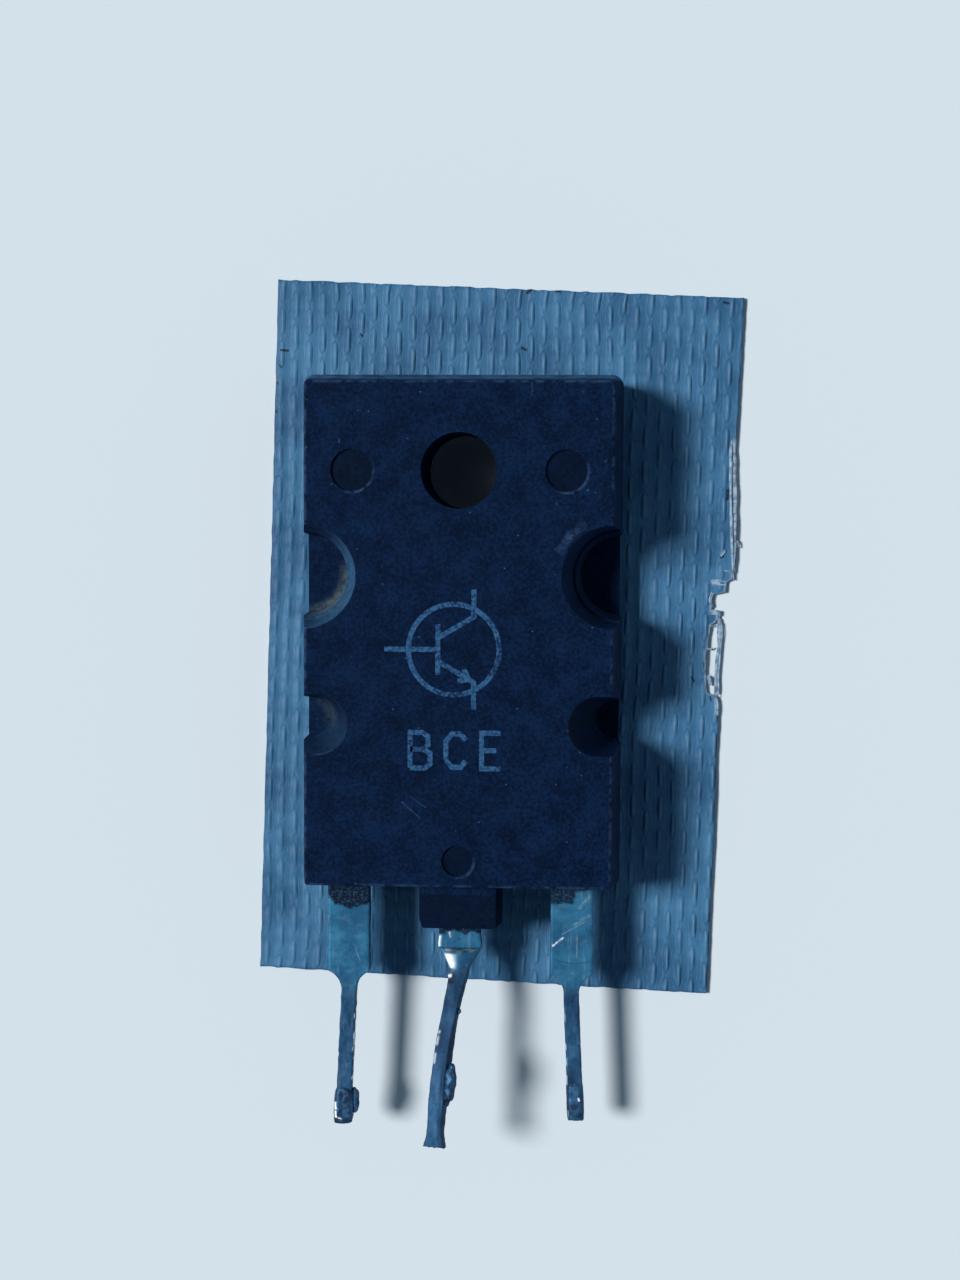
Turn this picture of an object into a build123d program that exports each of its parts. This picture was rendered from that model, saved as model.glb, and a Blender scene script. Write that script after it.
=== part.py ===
from build123d import *
import os
from math import cos, radians, sin, tan

# A three-lead power transistor in a fully insulated moulded package, with the woven
# insulating pad still stuck to its back. Lengths are millimetres, angles degrees.
# The origin is on the screw-hole axis, at the back of the pad. +Z points out of the
# front face, +Y towards the screw-hole end, and the leads leave towards -Y.

# Cuts run this far past the faces that they open
overrun = 1.0

# Moulded body, with its outline at the parting line
body_width = 15.5
body_length = 24.9
body_thickness = 5.5
parting_height = 2.7
front_draft = 9.0
back_draft = 5.0
front_corner_radius = 0.14
front_edge_radius = 0.1
hole_diameter = 3.6
hole_to_top = 4.65

# Collar of resin round the centre lead
collar_width = 4.1
collar_length = 2.04
collar_rise = 1.65
collar_drop = 1.8
collar_front_corner_radius = 0.15
collar_root = 2.0

# Ejector-pin marks in the front face
mark_depth = 0.15
side_mark_diameter = 2.0
side_mark_spacing = 10.15
end_mark_diameter = 1.5
end_mark_from_hole = 18.55

# Side notches, moulded in from the front with a conical wall and a blind floor
notch_floor_height = 1.6
upper_notch_from_hole = 5.0
upper_notch_mouth_radius = 2.45
upper_notch_ledge_radius = 2.24
upper_notch_ledge_width = 0.12
upper_notch_floor_radius = 1.9
upper_notch_ledge_share = 0.5
lower_notch_from_hole = 12.05
lower_notch_mouth_radius = 1.43
lower_notch_mouth_inset = 0.65
lower_notch_floor_radius = 0.93
lower_notch_floor_inset = 0.15

# Leads: a wide stem, then a narrow leg
lead_pitch = 5.45
lead_thickness = 0.6
stem_width = 2.05
stem_length = 4.2
neck_length = 0.95
leg_width = 0.75
base_leg_length = 6.65
base_leg_lean = -0.3
emitter_leg_length = 6.25
emitter_leg_lean = 0.27

# Inner flags of the outer leads, where the bond wires land
flag_width = 2.8
flag_length = 2.0
flag_reach = 3.7
flag_corner_radius = 0.3

# Paddle that carries the die, and the ramp from it up to the centre lead
back_resin = 0.75
paddle_thickness = 1.3
paddle_width = 9.6
paddle_above_hole = 3.4
paddle_end_resin = 2.6
paddle_corner_radius = 0.8
hole_insulation = 0.8
ramp_length = 1.6

# Centre lead outside the collar: creased, bent forward, leaned and twisted
crease_from_collar = 0.96
funnel_length = 1.05
collector_leg_length = 8.25
collector_lean = -1.05
collector_lift = 2.2
collector_twist = 24.0
# Each row is a station down the leg: along, lean, lift, width and twist
leg_station_shares = [
    (0.00, 0.00, 0.18, 1.22, 0.10),
    (0.21, 0.33, 0.50, 0.98, 0.45),
    (0.40, 0.58, 0.64, 1.00, 1.00),
    (0.74, 0.87, 0.86, 1.08, 0.80),
    (0.95, 0.98, 0.97, 1.15, 0.40),
    (1.00, 1.00, 1.00, 1.45, 0.30),
]

# Silicon die and the solder under it
die_size = 5.6
die_thickness = 0.3
die_from_hole = 9.4
die_solder_thickness = 0.05
die_solder_margin = 0.15

# Bond wires, with feet pressed flat on the die and on the flags
base_wire_diameter = 0.25
emitter_wire_diameter = 0.45
wire_rise = 1.15
wire_sides = 8
wire_bend_shares = [(0.0, 0.0), (0.2, 0.7), (0.5, 1.0), (0.8, 0.7), (1.0, 0.0)]
foot_length_share = 3.2
foot_width_share = 1.5
foot_thickness_share = 0.6
base_bond_shares = (-0.30, -0.32)
emitter_bond_shares = [(0.12, -0.30), (0.34, -0.16)]
base_flag_bond_shares = (0.05, 0.0)
emitter_flag_bond_shares = [(-0.22, -0.05), (0.22, 0.1)]

# Solder left on the leads; each row of shares is a station: along and thickness
base_solder_coat = 0.11
emitter_solder_coat = 0.05
solder_station_shares = [(0.0, 0.35), (0.45, 1.0), (0.8, 0.85), (1.0, 0.3)]
base_solder_length = 1.75
emitter_solder_length = 1.85
solder_tip = 0.07
solder_corner_share = 1.8
fin_length = 1.15
fin_width = 0.36
fin_thickness = 0.3
lump_length = 1.9
lump_radius = 0.42
lump_shares = [(-0.5, 0.0), (-0.38, 0.55), (-0.1, 1.0), (0.16, 0.9), (0.4, 0.6), (0.5, 0.0)]
lump_along_share = 0.66
lump_side_share = 0.68

# Insulating pad: a woven sheet, turned a little and cut by hand
pad_thickness = 0.3
pad_width = 23.1
pad_length = 34.65
pad_turn = -1.62
pad_left_of_hole = 9.69
pad_above_hole = 9.28
yarn_pitch = 0.64
yarn_groove_width = 0.2
yarn_groove_depth = 0.08
# Corners and the torn right edge, as shares of width and length from the top left corner
pad_edge_shares = [
    (0.0, 0.0),
    (1.0, 0.008),
    (0.996, 0.165),
    (0.996, 0.198),
    (1.003, 0.275),
    (1.010, 0.357),
    (1.007, 0.387),
    (0.999, 0.413),
    (0.972, 0.411),
    (0.958, 0.420),
    (0.960, 0.450),
    (0.975, 0.466),
    (0.982, 0.485),
    (0.981, 0.570),
    (0.984, 0.622),
    (0.980, 0.655),
    (0.983, 0.703),
    (0.983, 0.785),
    (0.981, 1.010),
    (0.0, 1.0),
]
# Gaps between the loosened edge yarns: across, down and length
slit_width = 0.17
slit_shares = [
    (0.982, 0.287, 0.018),
    (0.980, 0.343, 0.028),
    (0.976, 0.375, 0.012),
]
long_slit_width = 0.3
long_slit_shares = (0.962, 0.519, 0.098)

# Levels and places worked out from the sizes above
back_level = pad_thickness
parting_level = back_level + parting_height
front_level = back_level + body_thickness
top_edge = hole_to_top
bottom_edge = top_edge - body_length
body_middle = (top_edge + bottom_edge) / 2
parting_plane = Plane.XY.offset(parting_level)
parting_corner = front_corner_radius + (front_level - parting_level) * tan(radians(front_draft))
collar_corner = collar_front_corner_radius + collar_rise * tan(radians(front_draft))
floor_level = back_level + notch_floor_height
lead_back = parting_level
lead_front = lead_back + lead_thickness
lead_middle = lead_back + lead_thickness / 2
shoulder = bottom_edge - stem_length
neck_end = shoulder - neck_length
flag_middle = bottom_edge + flag_reach - flag_length / 2
collar_end = bottom_edge - collar_length
crease = collar_end - crease_from_collar
paddle_back = back_level + back_resin
paddle_front = paddle_back + paddle_thickness
paddle_end = bottom_edge + paddle_end_resin
die_back = paddle_front + die_solder_thickness
die_front = die_back + die_thickness

os.makedirs("parts", exist_ok=True)


# A rounded slab that stands on the parting line and narrows by its mould draft
def drafted_slab(width, length, middle, height, draft, radius):
    with BuildPart() as slab:
        with BuildSketch(Plane.XY.offset(parting_level)):
            with Locations((0, middle)):
                RectangleRounded(width, length, radius)
        extrude(amount=height, taper=draft)
    return slab.part


# Half the body's width at a level, on the drafted side wall
def side_at(level):
    if level > parting_level:
        return body_width / 2 - (level - parting_level) * tan(radians(front_draft))
    return body_width / 2 - (parting_level - level) * tan(radians(back_draft))


# A round core between two levels, with each end centred on the body's side wall
def round_core(low, low_radius, high, high_radius):
    with BuildPart() as core:
        for level, radius in ((low, low_radius), (high, high_radius)):
            with BuildSketch(Plane((side_at(level), 0, level))):
                Circle(radius)
        loft(ruled=True)
    return core.part


# The core that moulds an upper notch: two drafted stages with a ledge between them
def upper_notch_core():
    ledge_level = floor_level + (front_level - floor_level) * upper_notch_ledge_share
    ledge_inner = upper_notch_ledge_radius - upper_notch_ledge_width
    with BuildPart() as core:
        add(round_core(floor_level, upper_notch_floor_radius, ledge_level, ledge_inner))
        add(round_core(ledge_level, upper_notch_ledge_radius, front_level, upper_notch_mouth_radius))
    return core.part


# The core that moulds a lower notch: a drafted U that opens to the side
def lower_notch_core():
    with BuildPart() as core:
        for level, radius, inset in (
            (floor_level, lower_notch_floor_radius, lower_notch_floor_inset),
            (front_level, lower_notch_mouth_radius, lower_notch_mouth_inset),
        ):
            reach = 2 * inset + overrun
            with BuildSketch(Plane((side_at(level) - inset + reach / 2, 0, level))):
                SlotCenterToCenter(reach, 2 * radius)
        loft(ruled=True)
    return core.part


# An outer lead stamped from strip: inner flag, stem, rounded neck and leaning leg
def outer_lead(side, leg_length, lean):
    tip = neck_end - leg_length
    half_stem = stem_width / 2
    half_leg = leg_width / 2
    with BuildPart() as lead:
        with BuildSketch(Plane((side * lead_pitch, 0, lead_back))):
            with BuildLine():
                Polyline(
                    (-half_leg, neck_end),
                    (lean - half_leg, tip),
                    (lean + half_leg, tip),
                    (half_leg, neck_end),
                )
                TangentArc((half_leg, neck_end), (half_stem, shoulder), tangent=(0, 1))
                Polyline(
                    (half_stem, shoulder),
                    (half_stem, flag_middle),
                    (-half_stem, flag_middle),
                    (-half_stem, shoulder),
                )
                TangentArc((-half_leg, neck_end), (-half_stem, shoulder), tangent=(0, 1))
            make_face()
            with Locations((0, flag_middle)):
                RectangleRounded(flag_width, flag_length, flag_corner_radius)
        extrude(amount=lead_thickness)
    return lead.part


# A bond wire: a loop bent in straight runs, between two feet pressed flat by the bonding wedge.
# The round wire has a few flat sides, as it is hidden in the resin
def bond_wire(start, finish, diameter):
    first = Vector(*start)
    last = Vector(*finish)
    heading = Vector(last.X - first.X, last.Y - first.Y, 0)
    foot_thickness = diameter * foot_thickness_share
    bends = []
    for along, rise in wire_bend_shares:
        height = diameter / 2 + wire_rise * rise
        bends.append(first + (last - first) * along + Vector(0, 0, height))
    with BuildPart() as wire:
        with BuildLine() as loop:
            Polyline(*bends)
        with BuildSketch(Plane(origin=loop.line @ 0, z_dir=loop.line % 0)):
            RegularPolygon(diameter / 2, wire_sides)
        sweep(transition=Transition.RIGHT)
        for foot in (first, last):
            with BuildSketch(Plane(origin=foot, x_dir=heading, z_dir=(0, 0, 1))):
                Rectangle(diameter * foot_length_share, diameter * foot_width_share)
            extrude(amount=foot_thickness)
    return wire.part


# Solder wrapped round the end of an outer leg, thickest near the middle
def leg_end_solder(side, leg_length, lean, length, thickest):
    tip = neck_end - leg_length
    with BuildPart() as coat:
        for along, thickness in solder_station_shares:
            station = tip + length - (length + solder_tip) * along
            coat_here = thickest * thickness
            place = side * lead_pitch + lean * (neck_end - station) / leg_length
            with BuildSketch(Plane((place, station, lead_middle), x_dir=(1, 0, 0), z_dir=(0, -1, 0))):
                blank = Rectangle(leg_width + 2 * coat_here, lead_thickness + 2 * coat_here)
                chamfer(blank.vertices(), coat_here * solder_corner_share)
        loft()
    return coat.part


# Base lead
with BuildPart() as base_lead:
    add(outer_lead(-1, base_leg_length, base_leg_lean))
base_lead.part.label = "base_lead"
export_step(base_lead.part, "parts/base_lead.step")


# Emitter lead
with BuildPart() as emitter_lead:
    add(outer_lead(1, emitter_leg_length, emitter_leg_lean))
emitter_lead.part.label = "emitter_lead"
export_step(emitter_lead.part, "parts/emitter_lead.step")


# Planes across the centre lead's leg, from its neck to its cut end
leg_top = crease - funnel_length
leg_centres = []
for along, lean, lift, width, twist in leg_station_shares:
    centre = Vector(
        collector_lean * lean,
        leg_top - collector_leg_length * along,
        lead_middle + collector_lift * lift,
    )
    leg_centres.append(centre)
leg_headings = []
for before, after in zip(leg_centres[:1] + leg_centres, leg_centres[1:] + leg_centres[-1:]):
    leg_headings.append((after - before).normalized())
leg_planes = []
leg_widths = []
for centre, heading, (along, lean, lift, width, twist) in zip(leg_centres, leg_headings, leg_station_shares):
    turn = radians(collector_twist * twist)
    leg_planes.append(Plane(centre, x_dir=(cos(turn), 0, sin(turn)), z_dir=heading))
    leg_widths.append(leg_width * width)


# Collector frame: paddle, ramp, centre lead, crease funnel and bent leg in one stamping
with BuildPart() as collector_frame:
    with BuildSketch(Plane.XY.offset(paddle_back)):
        with Locations((0, (paddle_above_hole + paddle_end) / 2)):
            RectangleRounded(paddle_width, paddle_above_hole - paddle_end, paddle_corner_radius)
        Circle(hole_diameter / 2 + hole_insulation, mode=Mode.SUBTRACT)
    extrude(amount=paddle_thickness)
    with BuildSketch(Plane.YZ):
        with BuildLine():
            Polyline(
                (paddle_end + ramp_length, paddle_front),
                (paddle_end, paddle_front),
                (paddle_end - ramp_length, lead_front),
                (crease, lead_front),
                (crease, lead_back),
                (paddle_end - ramp_length, lead_back),
                (paddle_end, paddle_front - lead_thickness),
                (paddle_end + ramp_length, paddle_front - lead_thickness),
                close=True,
            )
        make_face()
    extrude(amount=stem_width / 2, both=True)
    with BuildSketch(Plane((0, crease, lead_middle), x_dir=(1, 0, 0), z_dir=(0, -1, 0))):
        Rectangle(stem_width, lead_thickness)
    with BuildSketch(leg_planes[0]):
        Rectangle(leg_widths[0], lead_thickness)
    loft(ruled=True)
    for plane, width in zip(leg_planes, leg_widths):
        with BuildSketch(plane):
            Rectangle(width, lead_thickness)
    loft()
collector_frame.part.label = "collector_frame"
export_step(collector_frame.part, "parts/collector_frame.step")


# Solder layer under the die
with BuildPart() as die_solder:
    with BuildSketch(Plane.XY.offset(paddle_front)):
        with Locations((0, -die_from_hole)):
            Rectangle(die_size + 2 * die_solder_margin, die_size + 2 * die_solder_margin)
    extrude(amount=die_solder_thickness)
die_solder.part.label = "die_solder"
export_step(die_solder.part, "parts/die_solder.step")


# Silicon die
with BuildPart() as transistor_die:
    with BuildSketch(Plane.XY.offset(die_back)):
        with Locations((0, -die_from_hole)):
            Rectangle(die_size, die_size)
    extrude(amount=die_thickness)
transistor_die.part.label = "transistor_die"
export_step(transistor_die.part, "parts/transistor_die.step")


# A place on the die's front face, as shares of its size from its middle
def die_place(shares):
    return (die_size * shares[0], die_size * shares[1] - die_from_hole, die_front)


# A place on a flag's front face, as shares of its size from its middle
def flag_place(side, shares):
    across = side * lead_pitch + flag_width * shares[0]
    return (across, flag_middle + flag_length * shares[1], lead_front)


# Bond wires
with BuildPart() as base_wire:
    add(bond_wire(die_place(base_bond_shares), flag_place(-1, base_flag_bond_shares), base_wire_diameter))
base_wire.part.label = "base_wire"
export_step(base_wire.part, "parts/base_wire.step")

emitter_wires = []
for name, on_die, on_flag in zip(
    ("emitter_wire_left", "emitter_wire_right"), emitter_bond_shares, emitter_flag_bond_shares
):
    with BuildPart() as emitter_wire:
        add(bond_wire(die_place(on_die), flag_place(1, on_flag), emitter_wire_diameter))
    emitter_wire.part.label = name
    export_step(emitter_wire.part, f"parts/{name}.step")
    emitter_wires.append(emitter_wire.part)


# Moulded body, with the inserts' own shapes left open in the resin
with BuildPart() as moulded_body:
    body_sizes = (body_width, body_length, body_middle)
    add(drafted_slab(*body_sizes, front_level - parting_level, front_draft, parting_corner))
    fillet(moulded_body.faces().sort_by(Axis.Z)[-1].edges(), front_edge_radius)
    mirror(drafted_slab(*body_sizes, parting_height, back_draft, parting_corner), about=parting_plane)
    collar_sizes = (collar_width, collar_length + collar_root, (collar_end + bottom_edge + collar_root) / 2)
    add(drafted_slab(*collar_sizes, collar_rise, front_draft, collar_corner))
    mirror(drafted_slab(*collar_sizes, collar_drop, back_draft, collar_corner), about=parting_plane)
    with Locations((0, 0, front_level)):
        Hole(hole_diameter / 2)
    with BuildSketch(Plane.XY.offset(front_level)):
        with GridLocations(side_mark_spacing, 0, 2, 1):
            Circle(side_mark_diameter / 2)
        with Locations((0, -end_mark_from_hole)):
            Circle(end_mark_diameter / 2)
    extrude(amount=-mark_depth, mode=Mode.SUBTRACT)
    for turn in (0, 180):
        with Locations(Location((0, -upper_notch_from_hole, 0), (0, 0, turn))):
            add(upper_notch_core(), mode=Mode.SUBTRACT)
        with Locations(Location((0, -lower_notch_from_hole, 0), (0, 0, turn))):
            add(lower_notch_core(), mode=Mode.SUBTRACT)
    for insert in (collector_frame, base_lead, emitter_lead, die_solder, transistor_die, base_wire):
        add(insert.part, mode=Mode.SUBTRACT)
    for wire in emitter_wires:
        add(wire, mode=Mode.SUBTRACT)
moulded_body.part.label = "moulded_body"
export_step(moulded_body.part, "parts/moulded_body.step")


# Solder on the base lead, with a fin pulled out to the side
with BuildPart() as base_lead_solder:
    add(leg_end_solder(-1, base_leg_length, base_leg_lean, base_solder_length, base_solder_coat))
    base_tip = neck_end - base_leg_length
    fin_root = base_leg_lean - lead_pitch
    fin_reach = fin_root + leg_width / 2 + fin_width
    with BuildSketch(Plane.XY.offset(lead_middle - fin_thickness / 2)):
        with BuildLine():
            Polyline(
                (fin_root, base_tip + base_solder_length),
                (fin_reach, base_tip + base_solder_length),
                (fin_reach, base_tip + base_solder_length - fin_length / 2),
                (fin_root, base_tip + base_solder_length - fin_length),
                close=True,
            )
        make_face()
    extrude(amount=fin_thickness)
    add(base_lead.part, mode=Mode.SUBTRACT)
base_lead_solder.part.label = "base_lead_solder"
export_step(base_lead_solder.part, "parts/base_lead_solder.step")


# Solder on the emitter lead
with BuildPart() as emitter_lead_solder:
    add(leg_end_solder(1, emitter_leg_length, emitter_leg_lean, emitter_solder_length, emitter_solder_coat))
    add(emitter_lead.part, mode=Mode.SUBTRACT)
emitter_lead_solder.part.label = "emitter_lead_solder"
export_step(emitter_lead_solder.part, "parts/emitter_lead_solder.step")


# Solder lump on the right edge of the centre lead's leg
with BuildPart() as collector_lead_solder:
    lump_heading = leg_headings[3]
    lump_start = leg_centres[2] + (leg_centres[3] - leg_centres[2]) * lump_along_share
    lump_middle = lump_start + Vector(leg_width * lump_side_share, 0, 0)
    lump_plane = Plane(lump_middle, x_dir=lump_heading, z_dir=lump_heading.cross(Vector(1, 0, 0)))
    with BuildSketch(lump_plane):
        with BuildLine():
            Polyline(*[(lump_length * along, lump_radius * out) for along, out in lump_shares], close=True)
        make_face()
    revolve(axis=Axis(lump_plane.origin, lump_plane.x_dir))
    add(collector_frame.part, mode=Mode.SUBTRACT)
collector_lead_solder.part.label = "collector_lead_solder"
export_step(collector_lead_solder.part, "parts/collector_lead_solder.step")


# Insulating pad, with grooves between its warp yarns and its loosened edge
pad_plane = Plane.XY.rotated((0, 0, pad_turn))
pad_front = pad_plane.offset(pad_thickness)
pad_right = pad_plane.x_dir
pad_up = pad_plane.y_dir
pad_columns = int(pad_width / yarn_pitch)


# A place in the pad's own frame, from shares of its width and length
def pad_place(across_share, down_share):
    return (pad_width * across_share - pad_left_of_hole, pad_above_hole - pad_length * down_share)


with BuildPart() as insulating_pad:
    with BuildSketch(pad_plane):
        with BuildLine():
            Polyline(*[pad_place(*shares) for shares in pad_edge_shares], close=True)
        make_face()
        Circle(hole_diameter / 2, mode=Mode.SUBTRACT)
        for across, down, length in slit_shares:
            with Locations(Location((*pad_place(across, down), 0), (0, 0, 90))):
                SlotOverall(pad_length * length, slit_width, mode=Mode.SUBTRACT)
        with Locations(Location((*pad_place(*long_slit_shares[:2]), 0), (0, 0, 90))):
            SlotOverall(pad_length * long_slit_shares[2], long_slit_width, mode=Mode.SUBTRACT)
    extrude(amount=pad_thickness)
    groove_middle = pad_width / 2 - pad_left_of_hole
    groove_start = pad_front.from_local_coords((groove_middle, pad_above_hole + overrun))
    with BuildSketch(Plane(groove_start, x_dir=pad_right, z_dir=-pad_up)):
        with GridLocations(yarn_pitch, 0, pad_columns, 1):
            Polygon(
                (-yarn_groove_width / 2, overrun),
                (-yarn_groove_width / 2, 0),
                (0, -yarn_groove_depth),
                (yarn_groove_width / 2, 0),
                (yarn_groove_width / 2, overrun),
                align=None,
            )
    extrude(amount=pad_length + 2 * overrun, mode=Mode.SUBTRACT)
insulating_pad.part.label = "insulating_pad"
export_step(insulating_pad.part, "parts/insulating_pad.step")
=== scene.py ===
from functools import partial
from math import radians

import bpy
import numpy as np
from mathutils import Euler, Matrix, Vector


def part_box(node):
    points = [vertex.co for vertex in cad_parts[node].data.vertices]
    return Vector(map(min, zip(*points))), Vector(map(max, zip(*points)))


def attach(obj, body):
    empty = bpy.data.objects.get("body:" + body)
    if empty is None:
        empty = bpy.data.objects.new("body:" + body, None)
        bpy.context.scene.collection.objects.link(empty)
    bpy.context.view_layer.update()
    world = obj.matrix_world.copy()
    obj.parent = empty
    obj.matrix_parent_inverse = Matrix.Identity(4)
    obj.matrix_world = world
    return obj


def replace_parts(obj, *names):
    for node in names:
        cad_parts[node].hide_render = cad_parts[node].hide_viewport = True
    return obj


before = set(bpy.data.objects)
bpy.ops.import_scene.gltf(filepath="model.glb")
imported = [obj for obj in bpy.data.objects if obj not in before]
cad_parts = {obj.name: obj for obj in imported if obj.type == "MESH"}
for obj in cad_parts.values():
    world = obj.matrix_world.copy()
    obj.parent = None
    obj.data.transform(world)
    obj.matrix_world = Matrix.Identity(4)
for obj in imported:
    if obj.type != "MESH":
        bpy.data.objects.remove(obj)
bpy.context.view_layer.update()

# Shapes are worked out in millimetres in the frame of the CAD and become metres in the mesh.
# +Z is out of the transistor's front face, +Y towards its screw hole, the leads run to -Y.
mm = 0.001
bodyLow, bodyHigh = (np.array(corner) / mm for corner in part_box("moulded_body"))
bodyFront = bodyHigh[2]
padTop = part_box("insulating_pad")[1][2] / mm
leadBack, leadFront = (corner[2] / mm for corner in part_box("base_lead"))
leadMiddle = (leadBack + leadFront) / 2
print("frame loaded, body from", bodyLow.round(2), "to", bodyHigh.round(2), "mm")


# Shape helpers

noiseTable = np.random.default_rng(11).random((48, 48, 48))


def softNoise(points, size):
    # random values on a lattice of the given size, eased between lattice points, from -1 to 1
    place = np.asarray(points) / size
    base = np.floor(place).astype(int)
    part = place - base
    part = part * part * (3 - 2 * part)
    total = np.zeros(place.shape[:-1])
    for corner in np.ndindex(2, 2, 2):
        weight = np.prod(np.where(np.array(corner) == 1, part, 1 - part), axis=-1)
        spot = (base + np.array(corner)) % noiseTable.shape[0]
        total += weight * noiseTable[spot[..., 0], spot[..., 1], spot[..., 2]]
    return total * 2 - 1


def ease(value, low, high):
    # 0 below low, 1 above high, and a smooth step between
    share = np.clip((value - low) / (high - low), 0, 1)
    return share * share * (3 - 2 * share)


def smoothThrough(keys, values, at):
    # a cubic through the key values, each key's slope that of the chord between its neighbours
    keys, values = np.asarray(keys, float), np.asarray(values, float)
    slopes = np.gradient(values, keys)
    spot = np.clip(np.searchsorted(keys, at) - 1, 0, len(keys) - 2)
    run = keys[spot + 1] - keys[spot]
    t = (at - keys[spot]) / run
    first = (1 + 2 * t) * (1 - t) ** 2 * values[spot] + t * (1 - t) ** 2 * run * slopes[spot]
    last = t * t * (3 - 2 * t) * values[spot + 1] + t * t * (t - 1) * run * slopes[spot + 1]
    return first + last


def gridQuads(rows, columns, closed):
    # quads between neighbouring rows of points; closed joins the last column to the first
    row = np.arange(rows - 1)[:, None] * columns
    column = np.arange(columns if closed else columns - 1)[None, :]
    after = (column + 1) % columns
    corners = [row + column, row + after, row + columns + after, row + columns + column]
    return np.stack(corners, -1).reshape(-1, 4)


def makePiece(name, points, faces, material, slot, smooth=True, attributes=None):
    # a mesh from points in millimetres and lists of corners, riding on the part's one body
    mesh = bpy.data.meshes.new(name)
    mesh.from_pydata((np.asarray(points) * mm).tolist(), [], [list(face) for face in faces])
    mesh.polygons.foreach_set("use_smooth", np.full(len(mesh.polygons), smooth))
    for label, values in (attributes or {}).items():
        layer = mesh.attributes.new(label, "FLOAT", "POINT")
        layer.data.foreach_set("value", np.asarray(values, np.float32).ravel())
    mesh.materials.append(material)
    mesh.validate()
    piece = bpy.data.objects.new(name, mesh)
    bpy.context.scene.collection.objects.link(piece)
    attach(piece, "root")
    return piece


def barProfile(acrossCount, cornerCount):
    # points round a bar's section: shares of the flat half sizes, and directions of the corner round
    shares, turns = [], []
    for quarter, (sideX, sideY) in enumerate(((1, 1), (-1, 1), (-1, -1), (1, -1))):
        for angle in np.linspace(0, np.pi / 2, cornerCount) + quarter * np.pi / 2:
            shares.append((sideX, sideY))
            turns.append((np.cos(angle), np.sin(angle)))
        if quarter in (0, 2):
            for share in np.linspace(1, -1, acrossCount + 2)[1:-1]:
                shares.append((sideX * share, sideY))
                turns.append((0, sideY))
    return np.array(shares, float), np.array(turns, float)


def sweptBar(centres, sides, ups, halfWidths, halfThicks, cornerRadius, profile):
    # a round-cornered bar section carried along a path: centre + side * across + up * through
    shares, turns = profile
    radius = np.minimum(cornerRadius, np.minimum(halfWidths, halfThicks) * 0.98)[:, None]
    across = shares[None, :, 0] * (halfWidths[:, None] - radius) + radius * turns[None, :, 0]
    through = shares[None, :, 1] * (halfThicks[:, None] - radius) + radius * turns[None, :, 1]
    return centres[:, None] + sides[:, None] * across[..., None] + ups[:, None] * through[..., None]


def closedTube(points):
    # faces of a tube given as rows of points round it, with a fan over each end
    rows, columns = points.shape[:2]
    flat = points.reshape(-1, 3)
    ends = np.array([points[0].mean(0), points[-1].mean(0)])
    around = np.arange(columns)
    after = (around + 1) % columns
    last = (rows - 1) * columns
    startFan = np.stack([np.full(columns, rows * columns), after, around], -1)
    endFan = np.stack([np.full(columns, rows * columns + 1), last + around, last + after], -1)
    faces = gridQuads(rows, columns, True).tolist() + startFan.tolist() + endFan.tolist()
    return np.vstack([flat, ends]), faces


def unitOf(vectors):
    # each vector divided by its length
    return vectors / np.linalg.norm(vectors, axis=-1, keepdims=True)


def pathFrames(centres, sideHint):
    # side and up directions square to the headings along a path
    heading = unitOf(np.gradient(centres, axis=0))
    up = unitOf(np.cross(heading, sideHint))
    return np.cross(up, heading), up


def roundTube(path, radii, sideCount):
    # a circle of each radius carried along a path
    side, up = pathFrames(path, np.broadcast_to([0.31, 0.17, 0.93], path.shape))
    angle = np.linspace(0, 2 * np.pi, sideCount, endpoint=False)
    ring = side[:, None] * np.cos(angle)[None, :, None] + up[:, None] * np.sin(angle)[None, :, None]
    return path[:, None] + ring * np.asarray(radii)[:, None, None]


def joinShapes(shapes):
    # several lists of points and faces as one, with the corner numbers moved along
    points, faces, start = [], [], 0
    for shapePoints, shapeFaces in shapes:
        points.append(shapePoints)
        faces += [[corner + start for corner in face] for face in shapeFaces]
        start += len(shapePoints)
    return np.vstack(points), faces


# Material helpers: each new node goes into the tree of the sockets that it takes

def startMaterial(name):
    # a new material with its node tree and its shader
    material = bpy.data.materials.new(name)
    material.use_nodes = True
    return material, material.node_tree, material.node_tree.nodes["Principled BSDF"]


def isSocket(value):
    # true for a node output, false for a constant
    return isinstance(value, bpy.types.NodeSocket)


def feed(socket, value):
    # links a socket to another one, or sets it to a constant
    if isSocket(value):
        socket.id_data.links.new(value, socket)
    else:
        socket.default_value = value


def setInputs(node, values):
    # feeds a node's inputs by their names
    for name, value in values.items():
        feed(node.inputs[name], value)


def calc(operation, *values):
    # one sum on sockets and constants
    tree = next(value for value in values if isSocket(value)).id_data
    node = tree.nodes.new("ShaderNodeMath")
    node.operation = operation
    for socket, value in zip(node.inputs, values):
        feed(socket, value)
    return node.outputs[0]


plus, minus, ratio, larger, smaller = (
    partial(calc, operation) for operation in ("ADD", "SUBTRACT", "DIVIDE", "MAXIMUM", "MINIMUM")
)


def both(*shares):
    # product of several shares
    total = shares[0]
    for share in shares[1:]:
        total = calc("MULTIPLY", total, share)
    return total


def placeInMm(tree):
    # Object coordinates in millimetres, whole and as x, y and z
    coordinates = tree.nodes.new("ShaderNodeTexCoord")
    scaled = tree.nodes.new("ShaderNodeVectorMath")
    scaled.operation = "SCALE"
    feed(scaled.inputs[0], coordinates.outputs["Object"])
    feed(scaled.inputs["Scale"], 1 / mm)
    split = tree.nodes.new("ShaderNodeSeparateXYZ")
    feed(split.inputs[0], scaled.outputs[0])
    return scaled.outputs[0], *split.outputs


def stretched(vector, scale):
    # a vector times a scale of its own on each axis
    node = vector.id_data.nodes.new("ShaderNodeVectorMath")
    node.operation = "MULTIPLY"
    feed(node.inputs[0], vector)
    feed(node.inputs[1], scale)
    return node.outputs[0]


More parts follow.
